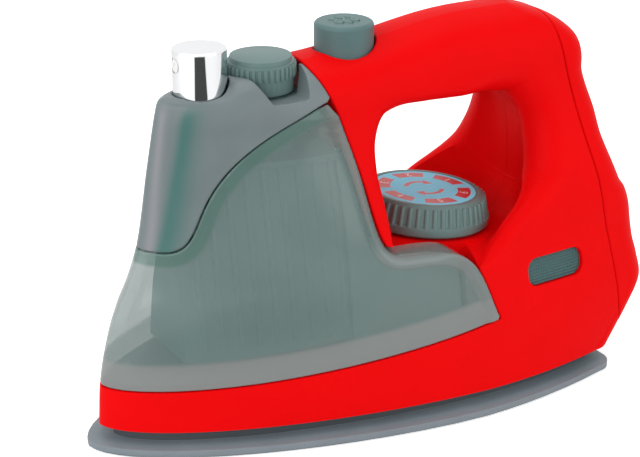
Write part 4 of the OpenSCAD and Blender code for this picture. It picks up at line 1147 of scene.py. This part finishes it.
@dataclass
class Tank:
    """The clear tank with its raised rear rim, and the grey walls inside it."""

    rim_height: float = 0.8
    rim_width: float = 5.0
    rim_fade: Point = (1.0, 1.2)
    edge_round: float = 0.8
    wing_round: float = 2.4
    wing_low: Point = (45.0, 12.0)
    wing_high: Point = (80.0, 25.0)
    wing_front: Point = (85.0, 12.0)
    wing_back: Point = (116.0, 12.0)
    # Reach of the painted highlight along the rim, its strength and fade, the denser, paler base band, and
    # the width of the painted shade under the cover
    edge_fade: Point = (0.4, 0.8)
    rim_dense: float = 0.5
    rim_top: Point = (62.0, 14.0)
    base_dense: float = 0.75
    base_rise: Point = (8.5, 2.5)
    cover_shade_width: Point = (4.0, 1.2)
    liner_in: float = 5.0
    liner_gap: float = 1.6
    liner_front: float = 88.0
    liner_back: float = 131.0
    tail_gap: float = 2.0
    floor_from: float = 8.0
    floor_end: float = 2.0
    floor_rise: float = 1.8
    floor_in: float = 2.2

    def raised(self, tau: Array, level: Array) -> Array:
        """Skin points lifted along the rear rim.

        Args:
            tau: place along the plan
            level: share of the height

        Returns:
            Points.
        """
        p = SKIN.point(tau, level)
        gap = line_gap(LINES.tank_edge(), p[..., [0, 2]])
        lift = self.rim_height * (1 - ramp(gap, self.rim_width - self.rim_fade[0], self.rim_fade[1]))
        return p + SKIN.normal(tau, level) * lift[..., None]

    def shoulder(self, p: Array) -> Array:
        """Rounding of the rear edge, softest over the wings.

        Args:
            p: points

        Returns:
            Radii.
        """
        u, z = p[..., 0], p[..., 2]
        wing = ramp(z, *self.wing_low) * (1 - ramp(z, *self.wing_high))
        along = ramp(u, *self.wing_front) * (1 - ramp(u, *self.wing_back))
        return self.edge_round + self.wing_round * wing * along

    def inner(self, tau: Array, level: Array) -> Array:
        """Skin points drawn in to the liner."""
        return SKIN.point(tau, level) - SKIN.normal(tau, level) * self.liner_in

    def floor(self, u: Array, share: Array) -> Array:
        """Points of the tank's floor at places along the iron and shares of the way across."""
        z = LINES.skirt_at(u) + self.floor_rise
        return np.stack([u, np.maximum(SKIN.half_at(u, z) - self.floor_in, 0) * share, z], axis=-1)

    def paint(self, mesh: bpy.types.Mesh) -> None:
        """Writes the painted layers: a painted highlight along the rear rim, a denser, paler band at the
        base, and painted shade under the nose cover's lower edge.

        Args:
            mesh: the tank's mesh
        """
        p = drawn_points(mesh)
        flat, z = p[:, [0, 2]], p[:, 2]
        gap = line_gap(LINES.tank_edge(), flat)
        edge = 1 - ramp(gap, self.rim_width - self.edge_fade[0], self.edge_fade[1])
        # Painted highlight along the rear rim, fading out higher up
        rim = edge * self.rim_dense * (1 - ramp(z, *self.rim_top))
        base = self.base_dense * (1 - ramp(z - LINES.skirt_at(p[:, 0]), *self.base_rise))
        # Painted shade under the nose cover's lower edge, kept off the rim
        cover_shade = 1 - ramp(line_gap(LINES.above_cover()[:-2], flat), *self.cover_shade_width)
        write_layers(mesh, dense=np.maximum(rim, base), dark=cover_shade * (1 - edge))

    def build(self) -> None:
        """Makes the tank and its inner walls."""
        cuts = [Cut(side(LINES.ahead()), inwards=LINES.shelf, steps=5, wider=self.shoulder),
                Cut(side(LINES.above_cover(), Keep.OUTSIDE))]
        sheet = Sheet(self.raised, SKIN.normal, climb(190, 60, 2, 2), level_steps(190, 4, 1), cuts,
                      inner_rows=4).build()
        tank = mesh_object("skin_tank", both_sides(sheet), CLEAR, Body.IRON, SHARP)
        self.paint(tank.data)
        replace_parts(tank, "tank_shell")
        ahead = Cut(side(LINES.ahead(), shift=self.liner_gap), radius=0.5, depth=1.0)
        front = Cut(lambda p: self.liner_front - p[..., 0], radius=1.0, depth=8.0)
        back = Cut(lambda p: p[..., 0] - self.liner_back, radius=1.5, depth=12.0)
        tail = Cut(lambda p: self.liner_back + self.tail_gap - p[..., 0], radius=0.5, depth=4.0)
        for name, finish, ends in (("tank_liner", VESSEL, [front, back]), ("tank_tail", PALE, [tail])):
            wall = Sheet(self.inner, SKIN.normal, climb(120, 50, 2, 2), level_steps(110, 4, 1),
                         [ahead, *ends]).build()
            mesh_object(name, both_sides(wall), finish, Body.IRON, SHARP)
        floor = Sheet(self.floor, None, np.linspace(self.floor_from, LINES.tail_u - self.floor_end, 90),
                      np.linspace(0, 1, 12)).build()
        mesh_object("tank_floor", both_sides(floor), PALE, Body.IRON)


@dataclass
class NoseCover:
    """The grey tower over the tank: its wall rounds over into its roof in one sheet."""

    head_u: float = 46.8
    head_hole: float = 9.6
    head_low: float = 112.0
    cap_hole: float = 12.6
    cap_low: float = 119.0
    roof_radius: float = 3.2
    edge_radius: float = 0.8
    edge_span: Point = (57.0, 5.0)
    wall_low: float = 0.45
    wall_high: float = 0.999
    step: float = 4e-3
    neck_hole: float = 7.6
    well_z: float = 119.2
    well_lap: float = 0.5
    wall_back: float = 60.0
    # How the painted highlight and painted shade fade below the roof, where they lie round the tower's wall,
    # and how wide they are
    paint_drop: float = 6.0
    highlight_at: float = 0.14
    highlight_width: float = 0.05
    stripe_at: float = 0.3
    stripe_lean: float = 0.37
    stripe_level: float = 0.7
    stripe_widths: Point = (0.045, 0.085)

    def roof_z(self, u: Array) -> Array:
        """Heights of the roof along the iron."""
        line = LINES.cover_roof()
        return np.interp(u, line[:, 0], line[:, 1])

    def place(self, tau: Array, way: Array) -> Array:
        """Points of the cover.

        Args:
            tau: place along the plan
            way: 0 to 1 up the wall, to 2 over the rounding, to 3 across the roof

        Returns:
            Points.
        """
        low, high = np.full(np.shape(tau), self.wall_low), np.full(np.shape(tau), self.wall_high)
        for _ in range(ROOF_HALVINGS):
            mid = (low + high) / 2
            p = SKIN.point(tau, mid)
            under = p[..., 2] < self.roof_z(p[..., 0])
            low, high = np.where(under, mid, low), np.where(under, high, mid)
        corner = SKIN.point(tau, low)
        soft = 1 - ramp(corner[..., 0], *self.edge_span)
        r = self.edge_radius + (self.roof_radius - self.edge_radius) * soft
        start = low - r / (SKIN.body_top - SKIN.skirt_z)
        wall = SKIN.point(tau, self.wall_low + (start - self.wall_low) * np.clip(way, 0, 1))
        begin = SKIN.point(tau, start)
        out = SKIN.normal(tau, start)
        out[..., 2] = 0
        inside = corner - unit(out) * r[..., None]
        inside[..., 1] = np.maximum(inside[..., 1], 0)
        inside[..., 2] = self.roof_z(inside[..., 0])
        b = np.clip(way - 1, 0, 1)[..., None]
        bend = (1 - b) ** 2 * begin + 2 * b * (1 - b) * corner + b**2 * inside
        roof = inside.copy()
        roof[..., 1] = inside[..., 1] * (1 - np.clip(way - 2, 0, 1))
        stage = way[..., None]
        return np.where(stage <= 1, wall, np.where(stage <= 2, bend, roof))

    def facing(self, tau: Array, way: Array) -> Array:
        """Normals of the cover."""
        return surface_normal(self.place, tau, way, self.step, 3)

    def paint(self, mesh: bpy.types.Mesh) -> None:
        """Writes the tower's painted light: a lighter band of painted highlight near its front edge, and a
        darker band of painted shade where its wall faces between the lights.

        Args:
            mesh: the tower's mesh
        """
        p = drawn_points(mesh)
        level = SKIN.level_at(p[:, 2], 0.95)
        share = np.clip(np.abs(p[:, 1]) / SKIN.half_width(level), 0, 0.999)
        t = 1 - np.power(1 - np.power(share, 1 / SKIN.plan_q), 1 / SKIN.plan_p)
        tau = np.arccos(1 - t) * 2 / math.pi
        fade = ramp(p[:, 2], LINES.cover_top - self.paint_drop, self.paint_drop)
        wall = (p[:, 0] < self.wall_back) * (1 - fade)
        # A lighter band of painted highlight near the front edge, and a darker band of painted shade further
        # round
        sheen_band = np.exp(-(((tau - self.highlight_at) / self.highlight_width) ** 2))
        off = tau - self.stripe_at - self.stripe_lean * (level - self.stripe_level)
        shade_band = np.exp(-((off / np.where(off < 0, *self.stripe_widths)) ** 2))
        write_layers(mesh, dense=wall * sheen_band, dark=wall * shade_band)

    def build(self) -> None:
        """Makes the cover and the well in it."""
        cuts = [Cut(side(LINES.ahead()), radius=0.5),
                Cut(side(LINES.above_cover()), radius=0.6),
                Cut(upright(self.head_u, self.head_hole, self.head_low), radius=0.5, depth=5.0),
                Cut(upright(LINES.cap_u, self.cap_hole, self.cap_low), radius=0.4, depth=5.0)]
        tau = np.concatenate([np.linspace(0, 1, 230), np.linspace(1, 1.3, 30)[1:]])
        cover = Sheet(self.place, self.facing, tau, climb(109, 8, 49), cuts).build()
        tower = mesh_object("skin_nose_cover", both_sides(cover), TOWER, Body.IRON, SHARP)
        self.paint(tower.data)
        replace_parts(tower, "nose_cover")
        self.well()

    def well(self) -> None:
        """Makes the floor round the filler neck under the cap."""
        made = bmesh.new()
        bmesh.ops.create_circle(made, cap_ends=False, segments=64, radius=self.neck_hole)
        ring = bmesh.ops.extrude_edge_only(made, edges=made.edges[:])["geom"]
        outer = [v for v in ring if isinstance(v, bmesh.types.BMVert)]
        grow = (self.cap_hole + self.well_lap) / self.neck_hole
        bmesh.ops.scale(made, vec=(grow, grow, 1), verts=outer)
        bmesh.ops.recalc_face_normals(made, faces=made.faces)
        bmesh.ops.translate(made, vec=(LINES.cap_u - SKIN.total_len / 2, 0, self.well_z), verts=made.verts)
        bmesh.ops.scale(made, vec=(MM, MM, MM), verts=made.verts)
        for f in made.faces:
            if f.normal.z < 0:
                f.normal_flip()
        piece("cap_well", made, GREY, Body.IRON, sharp=0.0)


def softened(frame: dict, node: str, finish: Finish, body: Body, width: float) -> bpy.types.Object:
    """Replaces a CAD node by a copy with small rounded edges.

    Args:
        frame: the loaded frame
        node: name of the node
        finish: its finish
        body: the body that it rides on
        width: width of the rounding in metres

    Returns:
        The new piece.
    """
    made = bmesh.new()
    made.from_mesh(frame["nodes"][node].data)
    bmesh.ops.remove_doubles(made, verts=made.verts, dist=SMALL)
    bmesh.ops.dissolve_limit(made, angle_limit=math.radians(1), verts=made.verts, edges=made.edges)
    least = math.radians(35)
    edges = [e for e in made.edges if len(e.link_faces) == 2 and e.calc_face_angle(0) > least]
    bmesh.ops.bevel(made, geom=edges, offset=width, offset_type="OFFSET", affect="EDGES", segments=2,
                    profile=0.5, material=-1, clamp_overlap=True)
    obj = piece(f"soft_{node}", made, finish, body, SHARP)
    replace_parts(obj, node)
    return obj


def live_spring(frame: dict, node: str) -> None:
    """Replaces a CAD spring by a copy riding on the iron, with a mesh of its own.

    Args:
        frame: the loaded frame
        node: name of the spring's node
    """
    mesh = frame["nodes"][node].data.copy()
    mesh.name = f"live_{node}"
    obj = show(f"live_{node}", mesh, STEEL, Body.IRON)
    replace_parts(obj, node)
    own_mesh(obj)


def shade_plinth(sole: bpy.types.Object, low: float = 3.3, upright_z: float = 0.5) -> None:
    """Writes painted shade on the sole's moulding: the upright faces of its plinth, under the skirt.

    Args:
        sole: the sole's object
        low: height in millimetres where the plinth starts
        upright_z: an upright face's normal rises less than this
    """
    layer = sole.data.attributes.new("dark", "FLOAT", "FACE")
    for face, value in zip(sole.data.polygons, layer.data):
        value.value = float(face.center.z / MM > low and abs(face.normal.z) < upright_z)


@dataclass
class DialPrint:
    """The printed disc on the dial: six numbered blocks round two turning arrows."""

    dial_x: float = 136.5
    top: float = 11.93
    figure_rise: float = 0.03
    figure_size: float = 4.6
    blocks: int = 6
    block_in: float = 12.6
    block_out: float = 17.4
    block_turn: float = 44.0
    first_turn: float = 20.0
    band_steps: int = 24
    arrow_r: float = 6.6
    arrow_w: float = 1.7
    head_half: float = 2.4
    head_turn: float = 32.0

    def place(self, points: Array) -> Array:
        """Moves points from the dial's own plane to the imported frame.

        Args:
            points: points in millimetres, z up from the deck

        Returns:
            Points in metres.
        """
        lean = math.radians(LINES.dial_lean)
        c, s = math.cos(lean), math.sin(lean)
        turn = np.array([[c, 0, s], [0, 1, 0], [-s, 0, c]])
        return to_frame(np.asarray(points, float) @ turn.T + [self.dial_x, 0, LINES.deck_z])

    def band(self, r0: float, r1: float, a0: float, a1: float) -> Part:
        """A flat piece of a ring.

        Args:
            r0: inner radius
            r1: outer radius
            a0: first angle in degrees
            a1: last angle in degrees

        Returns:
            Points and faces.
        """
        angles = np.radians(np.linspace(a0, a1, self.band_steps + 1))
        verts = [(r * math.cos(a), r * math.sin(a), self.top) for a in angles for r in (r0, r1)]
        faces = [[2 * n, 2 * n + 1, 2 * n + 3, 2 * n + 2] for n in range(self.band_steps)]
        return self.place(np.array(verts)), faces

    def arrow(self, a0: float, a1: float) -> list[Part]:
        """A curved arrow that turns clockwise.

        Args:
            a0: angle of its tail in degrees
            a1: angle where its head starts

        Returns:
            Pairs of points and faces.
        """
        r, half = self.arrow_r, self.arrow_w / 2
        base, tip = math.radians(a1), math.radians(a1 - self.head_turn)
        marks = ((r - self.head_half, base), (r + self.head_half, base), (r, tip))
        head = [(d * math.cos(a), d * math.sin(a), self.top) for d, a in marks]
        return [self.band(r - half, r + half, a1, a0), (self.place(np.array(head)), [[1, 0, 2]])]

    def digit(self, text: str, angle: float) -> Part:
        """One figure, read from outside the disc.

        Args:
            text: the figure
            angle: its place round the disc in degrees

        Returns:
            Points and faces.
        """
        font = bpy.data.curves.new("figure", "FONT")
        font.body = text
        font.size = self.figure_size
        font.align_x, font.align_y = "CENTER", "CENTER"
        font.resolution_u = 4
        holder = bpy.data.objects.new("figure", font)
        mesh = holder.to_mesh()
        flat = np.array([v.co[:] for v in mesh.vertices])
        faces = [list(f.vertices) for f in mesh.polygons]
        holder.to_mesh_clear()
        bpy.data.objects.remove(holder)
        bpy.data.curves.remove(font)
        a = math.radians(angle)
        r = (self.block_in + self.block_out) / 2
        turn = a + math.pi / 2
        x = r * math.cos(a) + flat[:, 0] * math.cos(turn) - flat[:, 1] * math.sin(turn)
        y = r * math.sin(a) + flat[:, 0] * math.sin(turn) + flat[:, 1] * math.cos(turn)
        return self.place(np.stack([x, y, np.full(len(flat), self.top + self.figure_rise)], axis=1)), faces

    def build(self) -> None:
        """Makes the red blocks and arrows, and the white figures."""
        red, white = [], []
        half = self.block_turn / 2
        for n in range(self.blocks):
            angle = self.first_turn + 360 / self.blocks * n
            red.append(self.band(self.block_in, self.block_out, angle - half, angle + half))
            white.append(self.digit(str(n + 1), angle))
        red += self.arrow(150, 60) + self.arrow(330, 240)
        mesh_object("disc_blocks", red, PRINT_RED, Body.DIAL)
        mesh_object("disc_figures", white, PRINT_WHITE, Body.DIAL)


@dataclass
class ButtonSign:
    """Three raised wavy lines on the steam button."""

    button_x: float = 102.6
    top: float = 139.5
    wire: float = 0.45
    reach: float = 4.6
    outer_share: float = 0.75
    spacing: float = 3.2
    swing: float = 0.9
    waves: float = 1.4
    points: int = 30
    sides: int = 8

    def build(self) -> None:
        """Makes the sign."""
        parts = []
        t = np.linspace(-1, 1, self.points)
        row = self.sides + 1
        for n in (-1, 0, 1):
            reach = self.reach * (1 if n == 0 else self.outer_share)
            x = self.button_x + self.swing * np.sin(t * math.pi * self.waves) + n * self.spacing
            path = np.stack([x, t * reach, np.full(len(t), self.top)], axis=1)
            along = unit(np.gradient(path, axis=0))
            across = np.stack([along[:, 1], -along[:, 0], along[:, 2]], axis=1)
            rings = []
            for a in np.linspace(0, math.pi, row):
                rise = np.array([0, 0, self.wire * math.sin(a)])
                rings.append(path + across * self.wire * math.cos(a) + rise)
            verts = np.stack(rings, axis=1).reshape(-1, 3)
            faces = [[i * row + k, (i + 1) * row + k, (i + 1) * row + k + 1, i * row + k + 1]
                     for i in range(len(t) - 1) for k in range(self.sides)]
            parts.append((to_frame(verts), faces))
        mesh_object("button_sign", parts, GREY, Body.BUTTON)


def aim(at: Triple, target: Triple) -> Euler:
    """Rotation that points a light or a camera from a place to a target."""
    return (Vector(target) - Vector(at)).to_track_quat("-Z", "Y").to_euler()


@dataclass
class Studio:
    """Floor, lights and camera, in metres, and a dark cloth that only the reflections and the light see."""

    camera_at: Triple = (-0.2986, -0.4904, 0.2958)
    look_at: Triple = (-0.01545, 0.0, 0.0636)
    focal_px: float = 1700.0
    frame_px: float = 640.0
    sensor: float = 36.0
    clip_start: float = 0.01
    light_target: Triple = (0.0, 0.0, 0.06)
    boxes: tuple[tuple[str, Triple, Point, float], ...] = (
        ("box_left", (-0.85, 0.12, 0.45), (0.6, 0.8), 2.0),
        ("box_right", (0.4, -0.8, 0.45), (0.7, 0.8), 2.2),
        ("box_front", (-0.82, -0.6, 0.5), (0.6, 0.6), 2.6),
        ("box_top", (0.05, 0.15, 1.0), (0.8, 0.8), 2.4))
    fill: float = 0.68
    floor_glow: float = 0.6
    floor_at: Triple = (0.0, 0.0, -0.0003)
    floor_size: Point = (6.0, 6.0)
    cloth_at: Triple = (-0.211, -0.352, 0.0004)
    cloth_size: Point = (0.4, 0.34)

    def light(self, name: str, at: Triple, size: Point, power: float) -> None:
        """Adds one soft box that faces the iron.

        Args:
            name: name of the light
            at: its place
            size: its width and height
            power: its power in watts
        """
        data = bpy.data.lights.new(name, "AREA")
        data.shape = "RECTANGLE"
        data.size, data.size_y = size
        data.energy = power
        link(name, data, at).rotation_euler = aim(at, self.light_target)

    def plane(self, name: str, at: Triple, size: Point, finish: Finish) -> bpy.types.Object:
        """Adds one flat rectangle.

        Args:
            name: name of the object
            at: its middle
            size: its two lengths
            finish: its finish

        Returns:
            The object.
        """
        mesh = bpy.data.meshes.new(name)
        made = bmesh.new()
        bmesh.ops.create_grid(made, x_segments=1, y_segments=1, size=0.5)
        bmesh.ops.scale(made, vec=(*size, 1.0), verts=made.verts)
        made.to_mesh(mesh)
        made.free()
        mesh.materials.append(finish.material())
        return link(name, mesh, at)

    def camera(self) -> None:
        """Adds the camera, at the photograph's place."""
        data = bpy.data.cameras.new("camera")
        data.sensor_width = self.sensor
        data.sensor_fit = "HORIZONTAL"
        data.lens = self.focal_px / self.frame_px * self.sensor
        data.clip_start = self.clip_start
        eye = link("camera", data, self.camera_at)
        eye.rotation_euler = aim(self.camera_at, self.look_at)
        bpy.context.scene.camera = eye

    def world(self) -> None:
        """Makes the surroundings: white to the camera and in reflections, and dimmer as fill light."""
        world = bpy.data.worlds.new("studio")
        bpy.context.scene.world = world
        world.use_nodes = True
        tree = world.node_tree
        back = tree.nodes["Background"]
        back.inputs["Color"].default_value = (1, 1, 1, 1)
        path = add_node(tree, "LightPath")
        seen = path.outputs["Is Camera Ray"]
        for kind in ("Is Glossy Ray", "Is Transmission Ray"):
            either = add_node(tree, "Math")
            either.operation = "MAXIMUM"
            tree.links.new(seen, either.inputs[0])
            tree.links.new(path.outputs[kind], either.inputs[1])
            seen = either.outputs[0]
        dim = add_node(tree, "MapRange", To_Min=self.fill, To_Max=1.0)
        tree.links.new(seen, dim.inputs["Value"])
        tree.links.new(dim.outputs["Result"], back.inputs["Strength"])

    def build(self) -> None:
        """Makes the studio."""
        bpy.context.scene.view_settings.view_transform = "Standard"
        self.camera()
        for box in self.boxes:
            self.light(*box)
        self.world()
        floor = self.plane("floor", self.floor_at, self.floor_size, FLOOR)
        tree = floor.data.materials[0].node_tree
        shader = tree.nodes["Principled BSDF"]
        shader.inputs["Emission Color"].default_value = (1, 1, 1, 1)
        seen = add_node(tree, "LightPath").outputs["Is Camera Ray"]
        lift = add_node(tree, "MapRange", To_Max=self.floor_glow)
        tree.links.new(seen, lift.inputs["Value"])
        tree.links.new(lift.outputs["Result"], shader.inputs["Emission Strength"])
        cloth = self.plane("cloth", self.cloth_at, self.cloth_size, CLOTH)
        cloth.rotation_euler.z = math.atan2(self.camera_at[1], self.camera_at[0])
        cloth.visible_camera = False


def main() -> None:
    """Builds the scene."""
    logging.basicConfig(level=logging.INFO)
    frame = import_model()
    for name, obj in frame["nodes"].items():
        obj.data.materials.clear()
        obj.data.materials.append(NODE_FINISH[name].material())
    for assembly in (Studio, Shells, Tank, NoseCover, DialPrint, ButtonSign):
        assembly().build()
    sole = softened(frame, "soleplate", SOLE_GREY, Body.IRON, width=0.0007)
    shade_plinth(sole)
    softened(frame, "filler_cap", GREY, Body.CAP, width=0.0003)
    softened(frame, "dial", GREY, Body.DIAL, width=0.0003)
    live_spring(frame, "pump_spring")
    live_spring(frame, "button_spring")


if __name__ == "__main__":
    main()
